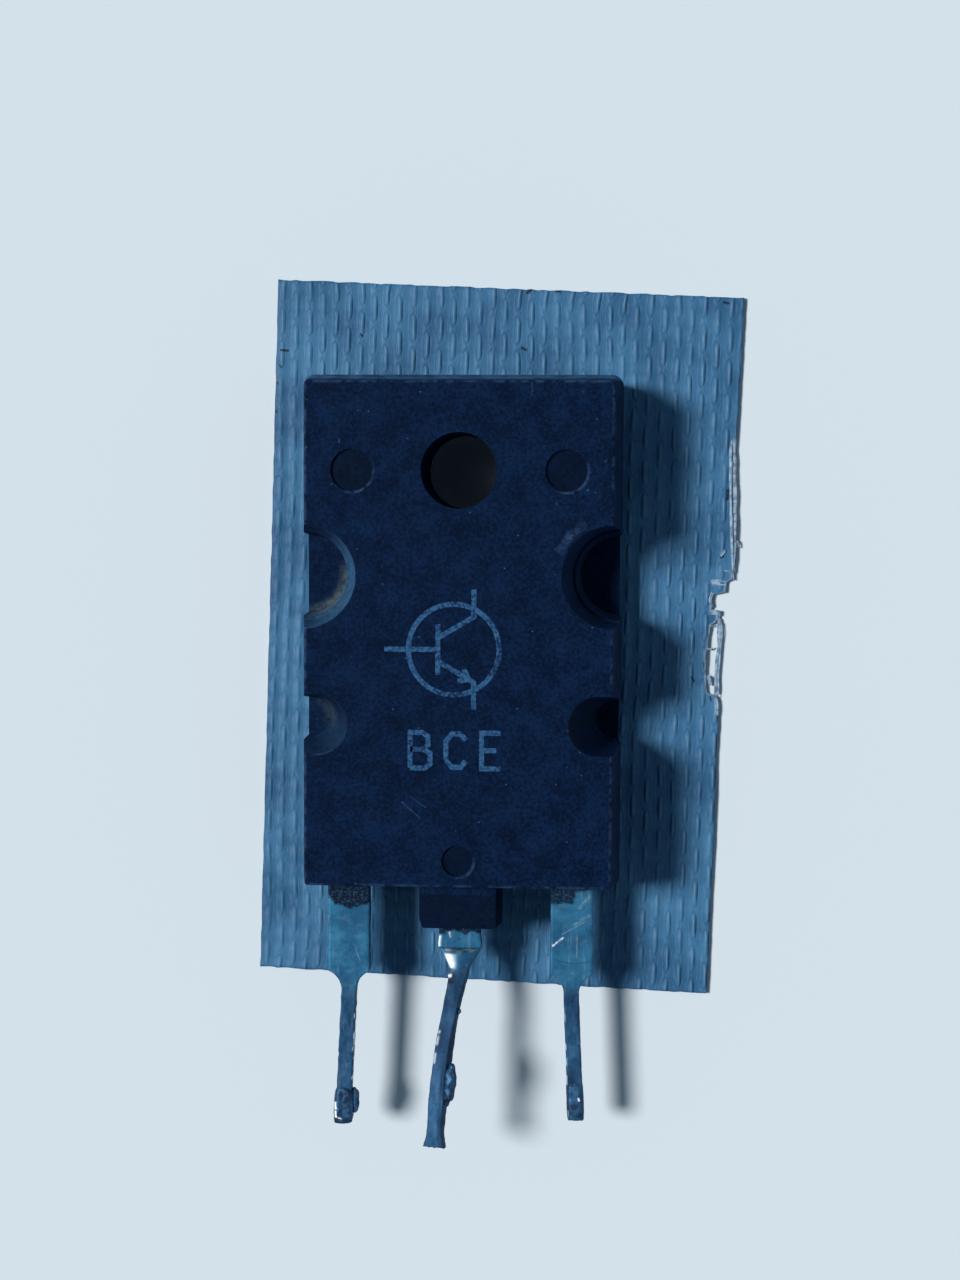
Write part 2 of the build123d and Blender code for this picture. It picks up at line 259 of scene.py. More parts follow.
def noise(vector, scale, detail=2.0, roughness=0.5):
    # smooth noise from 0 to 1, with about scale lumps to the millimetre
    node = vector.id_data.nodes.new("ShaderNodeTexNoise")
    setInputs(node, {"Vector": vector, "Scale": scale, "Detail": detail, "Roughness": roughness})
    return node.outputs["Fac"]


def cells(vector, scale):
    # distance to the nearest random point, and a random value for that point
    node = vector.id_data.nodes.new("ShaderNodeTexVoronoi")
    setInputs(node, {"Vector": vector, "Scale": scale})
    split = vector.id_data.nodes.new("ShaderNodeSeparateColor")
    feed(split.inputs[0], node.outputs["Color"])
    return node.outputs["Distance"], split.outputs[0]


def step(value, low, high):
    # 0 at low, 1 at high, smooth between; low may be above high
    node = value.id_data.nodes.new("ShaderNodeMapRange")
    node.interpolation_type = "SMOOTHSTEP"
    setInputs(node, {"Value": value, "From Min": min(low, high), "From Max": max(low, high)})
    setInputs(node, {"To Min": float(low > high), "To Max": float(low < high)})
    return node.outputs["Result"]


def mixColour(share, first, second):
    # the first colour where the share is 0 and the second where it is 1
    node = share.id_data.nodes.new("ShaderNodeMix")
    node.data_type = "RGBA"
    for socket, value in zip((0, 6, 7), (share, first, second)):
        feed(node.inputs[socket], value)
    return node.outputs[2]


def mixValue(share, first, second):
    # the first value where the share is 0 and the second where it is 1
    node = share.id_data.nodes.new("ShaderNodeMix")
    for socket, value in zip((0, 2, 3), (share, first, second)):
        feed(node.inputs[socket], value)
    return node.outputs[0]


def attribute(tree, name):
    # a value that the points of the surface carry
    node = tree.nodes.new("ShaderNodeAttribute")
    node.attribute_name = name
    return node.outputs["Fac"]


def addBump(shader, height, distance, strength=1.0):
    # tilts the shading by a height, with the distance in millimetres
    node = shader.id_data.nodes.new("ShaderNodeBump")
    setInputs(node, {"Strength": strength, "Distance": distance * mm, "Height": height})
    feed(shader.inputs["Normal"], node.outputs[0])


def srgb(red, green, blue):
    # a colour as a screen shows it, 0 to 255, made linear
    shares = np.array([red, green, blue]) / 255
    linear = np.where(shares <= 0.04045, shares / 12.92, ((shares + 0.055) / 1.055) ** 2.4)
    return (*linear.tolist(), 1.0)


def reachOf(offX, offY):
    # length of a flat offset
    return calc("SQRT", plus(calc("POWER", offX, 2.0), calc("POWER", offY, 2.0)))


def nearLine(x, y, start, finish, width):
    # 1 on the line from start to finish, seen from the front, falling to 0 at the given half width
    runX, runY = finish[0] - start[0], finish[1] - start[1]
    fromX, fromY = minus(x, start[0]), minus(y, start[1])
    along = plus(both(fromX, runX), both(fromY, runY))
    share = ratio(along, runX ** 2 + runY ** 2)
    share = smaller(larger(share, 0.0), 1.0)
    offX = minus(fromX, both(share, runX))
    offY = minus(fromY, both(share, runY))
    return step(reachOf(offX, offY), width, width * 0.25)


# Resin of the moulded body

resin = {
    "dark": srgb(3, 16, 37),
    "light": srgb(12, 36, 69),
    "deepTintAndShade": srgb(2, 9, 22),
    "speck": srgb(112, 134, 160),
    "rubbedAndHighlight": srgb(58, 88, 128),
    "filmAndLight": srgb(64, 108, 144),
    "dust": srgb(92, 108, 110),
    "notchFloor": 1.9,
    # side notches: place along the body, then axis and radius at the mouth and at the floor; the film, which
    # is painted light on the lit walls, and the dust are a strength and the way in which they are thickest,
    # as inward and upward shares
    "notches": [
        {
            "y": -5.0, "mouth": (7.42, 2.45), "foot": (7.654, 1.9),
            "filmAndLight": (0.6, 0.92, -0.39), "dust": (0.7, 0.8, -0.6),
        },
        {
            "y": -12.05, "mouth": (6.77, 1.43), "foot": (7.504, 0.93),
            "filmAndLight": (0.15, 0.35, -0.94), "dust": (0.2, 0.92, 0.39),
        },
    ],
    # ejector marks: place and radius
    "marks": [(-5.075, 0.0, 1.0), (5.075, 0.0, 1.0), (0.0, -18.55, 0.75)],
    "frontHalfWidth": 7.31,
    "frontTop": 4.2,
    "frontBottom": -19.8,
    "collarTop": -20.35,
    # pale scratches, rubs and crumbs on the front: start, finish, half width and strength
    "scratches": [
        ((3.42, 4.1), (3.45, 3.5), 0.05, 0.5),
        ((-2.64, -15.74), (-1.78, -16.49), 0.03, 0.75),
        ((-2.2, -15.5), (-1.5, -16.0), 0.025, 0.6),
        ((4.83, -3.71), (5.25, -3.05), 0.3, 0.32),
        ((5.25, -3.05), (5.85, -2.58), 0.3, 0.32),
        ((5.42, 0.8), (5.5, 0.88), 0.09, 0.75),
        ((-5.66, 1.3), (-5.66, 1.45), 0.05, 0.75),
        ((6.88, 0.44), (6.93, 0.48), 0.06, 0.75),
        ((6.05, -0.92), (6.1, -0.88), 0.06, 0.75),
    ],
}


def facing(inward, upward, reach, way):
    # cosine of the angle between a flat offset and the given way
    along = plus(both(inward, way[0]), both(upward, way[1]))
    return ratio(along, larger(reach, 0.2))


def resinMaterial():
    # mottled dark resin, with each film, rub and mark mixed over it by its share; the films are partly
    # painted light, the darker collar is painted shade and the pale rims at the lower right are painted
    # highlights
    material, tree, shader = startMaterial("mouldedResin")
    place, x, y, z = placeInMm(tree)
    aside = calc("ABSOLUTE", x)
    grain = noise(place, 6.0, 3.0, 0.65)
    mottle = noise(place, 0.9, 4.0, 0.6)
    blotch = plus(both(grain, 0.6), both(mottle, 0.4))
    colour = mixColour(step(blotch, 0.36, 0.66), resin["dark"], resin["light"])
    # painted shade: the recessed collar is darkened as if in the shadow of the body's front
    collarShade = step(y, resin["collarTop"], resin["collarTop"] - 0.1)
    colour = mixColour(both(collarShade, 0.5), colour, resin["deepTintAndShade"])
    # tiny pale specks of filler
    distance, pick = cells(place, 1.7)
    speck = both(step(distance, 0.08, 0.03), step(pick, 0.7, 0.72), 0.35)
    colour = mixColour(speck, colour, resin["speck"])
    # rubbed front edges, partly a painted highlight along them
    side = minus(resin["frontHalfWidth"], aside)
    top = minus(resin["frontTop"], y)
    end = smaller(top, minus(y, resin["frontBottom"]))
    edge = step(smaller(side, end), 0.16, 0.02)
    patchy = step(noise(place, 2.2, 3.0), 0.4, 0.62)
    edge = both(edge, step(z, bodyFront - 0.35, bodyFront - 0.1), patchy, 0.4)
    colour = mixColour(edge, colour, resin["rubbedAndHighlight"])
    # film on the top side, partly dust and mostly painted light and reflection, strongest on the upper draft
    # face
    topDustAndLight = step(y, resin["frontTop"] + 0.05, resin["frontTop"] + 0.2)
    topDustAndLight = both(topDustAndLight, mixValue(step(mottle, 0.36, 0.62), 0.22, 0.72))
    topDustAndLight = both(topDustAndLight, mixValue(step(z, 2.7, 3.6), 0.3, 1.0))
    colour = mixColour(topDustAndLight, colour, resin["filmAndLight"])
    # a blue film painted as light on the walls of the left notches where they face the light, and tan dust
    # low on the walls and along the floor's edge; both are kept to the lit left notches
    dusty = noise(place, 3.2, 4.0, 0.7)
    uneven = mixValue(step(dusty, 0.35, 0.6), 0.5, 1.0)
    crumbly = mixValue(step(dusty, 0.34, 0.6), 0.3, 1.0)
    litLeftOnly = mixValue(step(x, -1.0, 1.0), 1.0, 0.04)
    floor = resin["notchFloor"]
    height = ratio(minus(z, floor), bodyFront - floor)
    onFloor = both(step(z, floor - 0.06, floor - 0.02), step(z, floor + 0.06, floor + 0.02))
    dustShare = 0.0
    for notch in resin["notches"]:
        upward = minus(y, notch["y"])
        inward = minus(mixValue(height, notch["foot"][0], notch["mouth"][0]), aside)
        reach = reachOf(inward, upward)
        over = minus(reach, mixValue(height, notch["foot"][1], notch["mouth"][1]))
        wall = both(step(over, 0.15, 0.08), step(z, bodyFront - 0.03, bodyFront - 0.15))
        wall = both(wall, step(z, floor + 0.02, floor + 0.2), litLeftOnly)
        foot = both(step(over, -0.5, -0.05), step(over, 0.15, 0.08), onFloor, litLeftOnly)
        litFacing = step(facing(inward, upward, reach, notch["filmAndLight"][1:]), -0.1, 1.0)
        filmAndLight = both(wall, litFacing, uneven, notch["filmAndLight"][0])
        colour = mixColour(filmAndLight, colour, resin["filmAndLight"])
        dustWay = step(facing(inward, upward, reach, notch["dust"][1:]), 0.45, 1.0)
        low = larger(both(wall, step(height, 0.55, 0.2)), foot)
        dust = both(low, dustWay, crumbly, notch["dust"][0])
        colour = mixColour(dust, colour, resin["dust"])
        dustShare = larger(dust, dustShare)
        # painted highlight: a pale rim on each notch's edge where it faces the lower right
        rim = step(calc("ABSOLUTE", over), 0.1, 0.03)
        rim = both(rim, step(z, bodyFront - 0.2, bodyFront - 0.05), litLeftOnly, crumbly, 0.4)
        rim = both(rim, step(facing(inward, upward, reach, (0.75, -0.66)), 0.4, 0.9))
        colour = mixColour(rim, colour, resin["filmAndLight"])
    # smooth dark floors of the ejector marks, and painted highlights on their rims at the lower right
    smooth = 0.0
    for middleX, middleY, radius in resin["marks"]:
        offX = minus(x, middleX)
        offY = minus(y, middleY)
        reach = reachOf(offX, offY)
        sunk = both(step(reach, radius + 0.02, radius - 0.04), step(z, bodyFront - 0.02, bodyFront - 0.1))
        smooth = larger(sunk, smooth)
        lowRightHighlight = step(minus(offX, offY), 0.4, 1.2)
        rim = calc("ABSOLUTE", minus(reach, radius + 0.05))
        rim = both(step(rim, 0.1, 0.02), lowRightHighlight, step(dusty, 0.36, 0.56), 0.5)
        colour = mixColour(rim, colour, resin["rubbedAndHighlight"])
    colour = mixColour(both(smooth, 0.55), colour, resin["deepTintAndShade"])
    # a few scratches on the front
    onFront = step(z, bodyFront - 0.06, bodyFront - 0.02)
    worn = mixValue(step(noise(place, 7.0, 3.0), 0.36, 0.6), 0.25, 1.0)
    for start, finish, width, strength in resin["scratches"]:
        scratch = both(nearLine(x, y, start, finish, width), onFront, worn, strength)
        colour = mixColour(scratch, colour, resin["rubbedAndHighlight"])
    feed(shader.inputs["Base Color"], colour)
    roughness = mixValue(grain, 0.5, 0.74)
    roughness = mixValue(smooth, roughness, 0.4)
    feed(shader.inputs["Roughness"], mixValue(dustShare, roughness, 0.95))
    shader.inputs["Specular IOR Level"].default_value = 0.03
    height = plus(grain, both(noise(place, 22.0, 2.0), 0.5))
    height = both(height, minus(1.0, smooth))
    addBump(shader, height, 0.035, 0.6)
    return material


# Generic worn print: the circuit symbol of a transistor and its three pin letters

printed = {
    "middle": (-0.2, -8.45),
    "radius": 2.15,
    "halfWidth": 0.12,
    "thick": 0.02,
    "lift": 0.006,
    "liftStep": 0.002,
    "inkDark": srgb(30, 64, 100),
    "inkLight": srgb(56, 100, 142),
    # strokes of the symbol from its middle
    "symbol": [
        [(-3.3, 0.0), (-0.75, 0.0)],
        [(-0.75, 1.2), (-0.75, -1.2)],
        [(-0.75, 0.55), (0.95, 1.55), (0.95, 2.85)],
        [(-0.75, -0.55), (0.95, -1.55), (0.95, -2.85)],
        [(0.2, -1.5), (0.72, -1.41), (0.5, -0.93)],
    ],
    # strokes of each letter in a box 1 wide and 1.7 high, and where each box starts
    "letters": [
        ((-2.25, -14.1), [[(0, 0), (0, 1.7), (0.6, 1.7), (0.85, 1.5), (0.85, 1.1), (0.6, 0.9), (0, 0.9)],
                         [(0.6, 0.9), (0.95, 0.7), (0.95, 0.2), (0.7, 0), (0, 0)]]),
        ((-0.6, -14.1), [[(1.0, 1.35), (0.75, 1.65), (0.35, 1.65), (0.05, 1.3), (0.05, 0.4), (0.35, 0.05),
                          (0.75, 0.05), (1.0, 0.35)]]),
        ((1.15, -14.1), [[(0.9, 1.7), (0, 1.7), (0, 0), (0.9, 0)], [(0, 0.87), (0.7, 0.87)]]),
    ],
}


def inkMaterial():
    # ink that gives way to resin where a coarse and a fine noise together are low
    material, tree, shader = startMaterial("wornInk")
    place = placeInMm(tree)[0]
    grain = noise(place, 6.0, 3.0, 0.65)
    wear = plus(both(grain, 0.5), both(noise(place, 1.1, 3.0), 0.5))
    ink = mixColour(step(grain, 0.3, 0.7), printed["inkDark"], printed["inkLight"])
    colour = mixColour(step(wear, 0.36, 0.54), resin["light"], ink)
    roughness = mixValue(grain, 0.5, 0.7)
    setInputs(shader, {"Base Color": colour, "Roughness": roughness, "Specular IOR Level": 0.05})
    addBump(shader, grain, 0.03, 0.5)
    return material


def inkRibbon(line, closed, lift):
    # a flat strip along a flat line, its sides square to the bisector at each corner
    after = np.roll(line, -1, 0) - line
    before = line - np.roll(line, 1, 0)
    if not closed:
        after[-1], before[0] = before[-1], after[0]
    after, before = unitOf(after), unitOf(before)
    mean = unitOf(after + before)
    aside = np.stack([-mean[:, 1], mean[:, 0]], -1) / np.clip(np.sum(mean * after, 1), 0.5, 1)[:, None]
    z = bodyFront + lift
    corners = [(-1, z - printed["thick"]), (1, z - printed["thick"]), (1, z), (-1, z)]
    flats = []
    for across, height in corners:
        flat = line + aside * printed["halfWidth"] * across
        flats.append(np.concatenate([flat, np.full((len(line), 1), height)], 1))
    points = np.stack(flats, 1)
    if closed:
        count = len(line) * 4
        return points.reshape(-1, 3), (gridQuads(len(line) + 1, 4, True) % count).tolist()
    return closedTube(points)


def wornPrint(material):
    # thin ribbons on the front face, each stroke a hair above the last so that none coincide
    middle = np.array(printed["middle"])
    around = np.linspace(0, 2 * np.pi, 72, endpoint=False)
    strokes = [middle + printed["radius"] * np.stack([np.cos(around), np.sin(around)], -1)]
    strokes += [middle + np.array(stroke, float) for stroke in printed["symbol"]]
    for corner, letter in printed["letters"]:
        strokes += [np.array(corner) + np.array(stroke, float) for stroke in letter]
    lifts = printed["lift"] + printed["liftStep"] * np.arange(len(strokes))
    shapes = [inkRibbon(stroke, number == 0, lifts[number]) for number, stroke in enumerate(strokes)]
    return makePiece("wornPrint", *joinShapes(shapes), material, "moulding_resin", smooth=False)


# Tinned lead metal, with stains, bright rubs and painted highlights carried by the surface

leadFinish = {
    "tin": srgb(45, 103, 134),
    "dull": srgb(32, 78, 110),
    "lilac": srgb(60, 98, 132),
    "haze": srgb(104, 130, 150),
    "wearAndHighlight": srgb(226, 236, 242),
    "crust": srgb(8, 24, 42),
    "rust": srgb(28, 58, 86),
    "grit": srgb(96, 122, 144),
    "tarnish": srgb(12, 42, 74),
    "stain": srgb(36, 20, 20),
    # bright scratches, pale smears and painted glints: start, finish, half width and strength
    "rubs": [
        ((4.54, -23.02), (5.03, -22.62), 0.065, 1.0),
        ((6.34, -20.5), (5.84, -21.13), 0.12, 0.1),
        ((6.3, -21.5), (5.56, -21.97), 0.12, 0.08),
        ((5.0, -22.45), (6.2, -21.75), 0.04, 0.14),
        ((-6.5, -21.7), (-6.5, -22.05), 0.06, 0.7),
        ((-5.2, -23.1), (-4.9, -23.9), 0.04, 0.12),
        ((-0.5, -22.42), (-0.46, -22.66), 0.07, 0.8),
    ],
    # dark lines and spots
    "stains": [
        ((4.6, -23.7), (5.47, -23.9), 0.05, 0.5),
        ((5.47, -23.9), (6.3, -23.78), 0.05, 0.4),
        ((5.0, -21.9), (5.9, -21.75), 0.08, 0.35),
        ((-0.36, -24.5), (-0.36, -24.68), 0.26, 0.9),
        ((-0.06, -22.72), (0.0, -22.78), 0.1, 0.9),
        ((-0.78, -22.42), (-0.72, -22.5), 0.1, 0.8),
    ],
}


def leadMaterial():
    # clouded tin, then tarnish, pits, marks, crust and bright parts mixed over it in that order; the bright
    # parts are scratches and painted highlights
    material, tree, shader = startMaterial("tinnedLead")
    place, x, y, z = placeInMm(tree)
    cloud = noise(place, 0.9, 4.0, 0.6)
    fine = noise(place, 6.0, 4.0, 0.65)
    drawn = noise(stretched(place, (7.0, 0.5, 7.0)), 1.0, 3.0)
    leg, tarnish = attribute(tree, "leg"), attribute(tree, "tarnish")
    colour = mixColour(step(cloud, 0.34, 0.66), leadFinish["dull"], leadFinish["tin"])
    patch = noise(stretched(place, (2.2, 1.0, 2.2)), 1.0, 4.0, 0.65)
    legColour = mixColour(step(patch, 0.34, 0.64), leadFinish["dull"], leadFinish["lilac"])
    haze = noise(stretched(place, (1.6, 2.4, 1.6)), 1.0, 5.0, 0.7)
    colour = mixColour(both(step(haze, 0.5, 0.72), 0.22), colour, leadFinish["haze"])
    colour = mixColour(leg, colour, legColour)
    colour = mixColour(both(step(drawn, 0.58, 0.74), 0.1), colour, leadFinish["wearAndHighlight"])
    colour = mixColour(both(tarnish, 0.8), colour, leadFinish["tarnish"])
    pits = both(step(fine, 0.43, 0.3), mixValue(leg, 0.2, 0.75))
    colour = mixColour(pits, colour, leadFinish["crust"])
    worn = mixValue(step(fine, 0.38, 0.6), 0.2, 1.0)
    onTop = step(z, leadMiddle, leadMiddle + 0.1)
    # painted highlights carried by the surface, joined by the listed scratches and painted glints
    wearAndHighlight = attribute(tree, "wearAndHighlight")
    for start, finish, width, strength in leadFinish["rubs"]:
        rub = both(nearLine(x, y, start, finish, width), worn, onTop, strength)
        wearAndHighlight = larger(wearAndHighlight, rub)
    for start, finish, width, strength in leadFinish["stains"]:
        stain = both(nearLine(x, y, start, finish, width), worn, onTop, strength)
        colour = mixColour(stain, colour, leadFinish["stain"])
    crust = attribute(tree, "crust")
    crustColour = mixColour(step(fine, 0.46, 0.66), leadFinish["crust"], leadFinish["rust"])
    grit = both(step(noise(place, 13.0, 2.0), 0.62, 0.7), 0.6)
    crustColour = mixColour(grit, crustColour, leadFinish["grit"])
    colour = mixColour(crust, colour, crustColour)
    colour = mixColour(wearAndHighlight, colour, leadFinish["wearAndHighlight"])
    feed(shader.inputs["Base Color"], colour)
    metal = minus(1.0, both(crust, 0.95))
    metal = both(metal, minus(1.0, both(tarnish, 0.95)), 0.62)
    feed(shader.inputs["Metallic"], metal)
    roughness = mixValue(tarnish, mixValue(fine, 0.4, 0.6), 0.65)
    roughness = mixValue(wearAndHighlight, roughness, 0.36)
    feed(shader.inputs["Roughness"], mixValue(crust, roughness, 0.85))
    shader.inputs["Specular IOR Level"].default_value = 0.1
    height = plus(both(fine, 0.6), both(drawn, 0.3))
    addBump(shader, height, 0.03, 0.5)
    return material


# Woven pad

pad = {
    "width": 23.1,
    "length": 34.65,
    "turn": -1.62,
    "left": -9.69,
    "top": 9.28,
    "rightDrop": (0.277, 0.35),
    "warpPitch": 0.652,
    "weftPitch": 0.835,
    "columnsPerYarn": 6,
    "rowsPerYarn": 5,
    "relief": 0.07,
    "fineFrom": 21.2,
    "fineCount": 22,
    "holeRadius": 1.8,
    # right edge: down and across from the top left corner
    "rightEdge": [
        (0.0, 23.08), (3.0, 23.04), (6.6, 23.0), (7.4, 22.98), (9.5, 23.14), (10.6, 23.2), (12.35, 23.24),
        (13.1, 23.18), (13.8, 23.12), (13.95, 22.8), (14.5, 22.77), (14.56, 22.14), (15.56, 22.14),
        (15.62, 22.46), (15.95, 22.46), (16.05, 22.1), (16.8, 22.04), (17.54, 21.98), (18.52, 21.98),
        (19.55, 22.06), (19.68, 22.6), (20.84, 22.67), (22.7, 22.62), (24.4, 22.68), (27.2, 22.68),
        (30.7, 22.64), (35.1, 22.64),
    ],
    # gaps beside the loosened yarns: across, down, length and width
    "slits": [
        (22.66, 9.95, 0.6, 0.15), (22.64, 11.85, 1.0, 0.14),
        (22.52, 12.98, 0.4, 0.17), (22.53, 13.92, 0.3, 0.28),
    ],
    # where the tear fades in and out, down the edge
    "torn": (7, 7.6, 19.8, 21),
    # the outermost yarn that came loose: down and across
    "looseLine": [(7.2, 22.72), (8.2, 22.73), (10.2, 22.83), (12.43, 22.98), (13.5, 23.08), (14.35, 23.14)],
}


def padPlace(across, down):
    # from millimetres right of and below the pad's top left corner to the frame of the part
    turn = radians(pad["turn"])
    localX, localY = pad["left"] + across, pad["top"] - down
    return localX * np.cos(turn) - localY * np.sin(turn), localX * np.sin(turn) + localY * np.cos(turn)


def weaveHeight(warp, weft, side):
    # plain weave in yarn counts: long warp knuckles on every other crossing that reach past their row,
    # low warp ribs and weft pillows
    column, row = np.floor(warp), np.floor(weft)
    offWarp, offWeft = np.abs(warp - column - 0.5), np.abs(weft - row - 0.5)
    over = (column + row + side + 1) % 2
    along = np.where(over == 1, offWeft, 1 - offWeft)
    knuckle = np.clip(1 - np.hypot(offWarp / 0.25, (along / 0.76) ** 2), 0, 1)
    rib = 1 - ease(offWarp, 0.05, 0.45)
    pillow = 1 - (offWeft / 0.5) ** 2
    return 0.1 + 0.2 * rib + 0.2 * pillow + 0.5 * knuckle


def padSheet(material):
    # a grid that follows the yarns over the cut outline, front and back, each point raised by the weave;
    # faces in the hole and the slits are left out and the points round them moved to their rims
    edge = np.array(pad["rightEdge"])
    even = np.arange(0, pad["fineFrom"], pad["warpPitch"] / pad["columnsPerYarn"])
    fine = (np.arange(pad["fineCount"]) + 1) / pad["fineCount"]
    share = np.linspace(0, 1, int(pad["length"] / pad["weftPitch"] * pad["rowsPerYarn"]))[:, None]
    down = share * pad["length"]
    right = np.interp(down, edge[:, 0], edge[:, 1])
    torn = ease(down, *pad["torn"][:2]) * (1 - ease(down, *pad["torn"][2:]))
    ragged = np.concatenate([down, down * 0, down * 0 + 3], -1)
    right = right - (0.015 + 0.02 * torn) * (1 + softNoise(ragged, 0.4)[:, None])
    outer = pad["fineFrom"] + fine * (right - pad["fineFrom"])
    across = np.concatenate([np.broadcast_to(even, (len(share), len(even))), outer], 1)
    topDrop, bottomDrop = (drop * across / pad["width"] for drop in pad["rightDrop"])
    down = topDrop + share * (pad["length"] + bottomDrop - topDrop)
    frayed = 0.03 * (1 + softNoise(np.stack([across, across * 0, across * 0], -1), 0.3))
    down = down + frayed * (1 - ease(share, 0, 0.004)) - frayed * ease(share, 0.996, 1)
    leftEdge = softNoise(np.stack([down, down * 0 + 5, down * 0], -1), 0.5)
    across = across + 0.02 * (1 + leftEdge) * (1 - ease(across, 0, 0.2))
    warp, weft = across / pad["warpPitch"], (down - topDrop) / pad["weftPitch"]
    # slow sideways wander of the yarns, none at the edges
    inner = ease(across, 0, 0.6) * (1 - ease(across, 20.4, 21.2))
    inner = inner * ease(share, 0, 0.02) * (1 - ease(share, 0.98, 1))
    spot = np.stack([across, down, 0 * across], -1)
    wander = 0.09 * softNoise(spot * [0.5, 0.22, 1], 1.0) + 0.03 * softNoise(spot * [1.5, 0.7, 1], 1.0)
    across = across + inner * wander
    down = down + inner * 0.1 * softNoise(spot * [0.22, 0.5, 1] + 7.3, 1.0)
    rows, columns = across.shape
    quads = gridQuads(rows, columns, False)
    kept = np.ones(len(quads), bool)
    for cutX, cutY, length, width in [(-pad["left"], pad["top"], 0, 2 * pad["holeRadius"]), *pad["slits"]]:
        half = max(length - width, 0) / 2
        axisY = np.clip(down, cutY - half, cutY + half)
        offX, offY = across - cutX, down - axisY
        distance = np.hypot(offX, offY)
        inside = distance < width / 2
        kept &= ~(inside.ravel()[quads].sum(1) >= 3)
        push = np.where(inside, width / 2 / np.maximum(distance, 1e-6), 1)
        across, down = cutX + offX * push, axisY + offY * push
    front, back = weaveHeight(warp, weft, 0), weaveHeight(warp, weft, 1)
    x, y = padPlace(across, down)
    zFront = padTop - pad["relief"] * (1 - front)
    zBack = pad["relief"] * (1 - back)
    points = np.concatenate([np.stack([x, y, z], -1).reshape(-1, 3) for z in (zFront, zBack)])
    quads = quads[kept]
    count = rows * columns
    # walls along every edge that only one face uses
    edges = np.concatenate([quads[:, [k, (k + 1) % 4]] for k in range(4)])
    keys = np.sort(edges, 1)
    _, first, uses = np.unique(keys[:, 0] * count + keys[:, 1], return_index=True, return_counts=True)
    rim = edges[first[uses == 1]]
    walls = np.stack([rim[:, 0], rim[:, 1], rim[:, 1] + count, rim[:, 0] + count], -1)
    faces = np.concatenate([quads[:, ::-1], quads + count, walls])
    used = np.zeros(2 * count, bool)
    used[faces.ravel()] = True
    number = np.cumsum(used) - 1
    line = np.array(pad["looseLine"])
    fringe = ease(across - np.interp(down, line[:, 0], line[:, 1]), -0.02, 0.08)
    fringe = fringe * ease(down, 7.1, 7.5) * (1 - ease(down, 13.9, 14.3))
    fringe = np.maximum(fringe, (1 - ease(right - across, 0.02, 0.16)) * torn * 0.8)
    carried = {"warpAt": (warp, warp), "weftAt": (weft, weft + 1), "fringe": (fringe, fringe)}
    attributes = {}
    for label, sides in carried.items():
        attributes[label] = np.concatenate([side.ravel() for side in sides])[used]
    return makePiece("wovenPad", points[used], number[faces], material, "pad_cloth", attributes=attributes)


padFinish = {
    "cloth": srgb(68, 119, 157),
    "shade": srgb(48, 94, 131),
    "grooveDirtAndShade": srgb(20, 44, 78),
    "rubbedAndHighlight": srgb(122, 164, 194),
    "fringeDark": srgb(110, 126, 146),
    "fringePale": srgb(150, 172, 190),
    "yarnDark": srgb(88, 118, 146),
    "yarnPale": srgb(158, 184, 204),
    "dirt": srgb(14, 18, 28),
    # dark crumbs: start and finish as across and down, and half width
    "crumbs": [
        ((12.25, 3.05), (12.45, 3.15), 0.1), ((22.1, 0.55), (22.35, 0.6), 0.1),
        ((4.2, 2.6), (4.3, 2.7), 0.08), ((21.8, 18.3), (21.84, 18.6), 0.06),
        ((21.25, 19.05), (21.36, 19.25), 0.07), ((22.2, 20.0), (22.26, 20.2), 0.06),
        ((0.2, 4.25), (0.28, 4.35), 0.08), ((0.1, 5.1), (0.12, 5.2), 0.07), ((0.08, 6.5), (0.1, 6.6), 0.06),
        ((0.25, 3.5), (0.6, 3.52), 0.09), ((12.42, 0.34), (12.6, 0.2), 0.13),
        ((13.85, 0.2), (14.0, 0.24), 0.12),
    ],
}


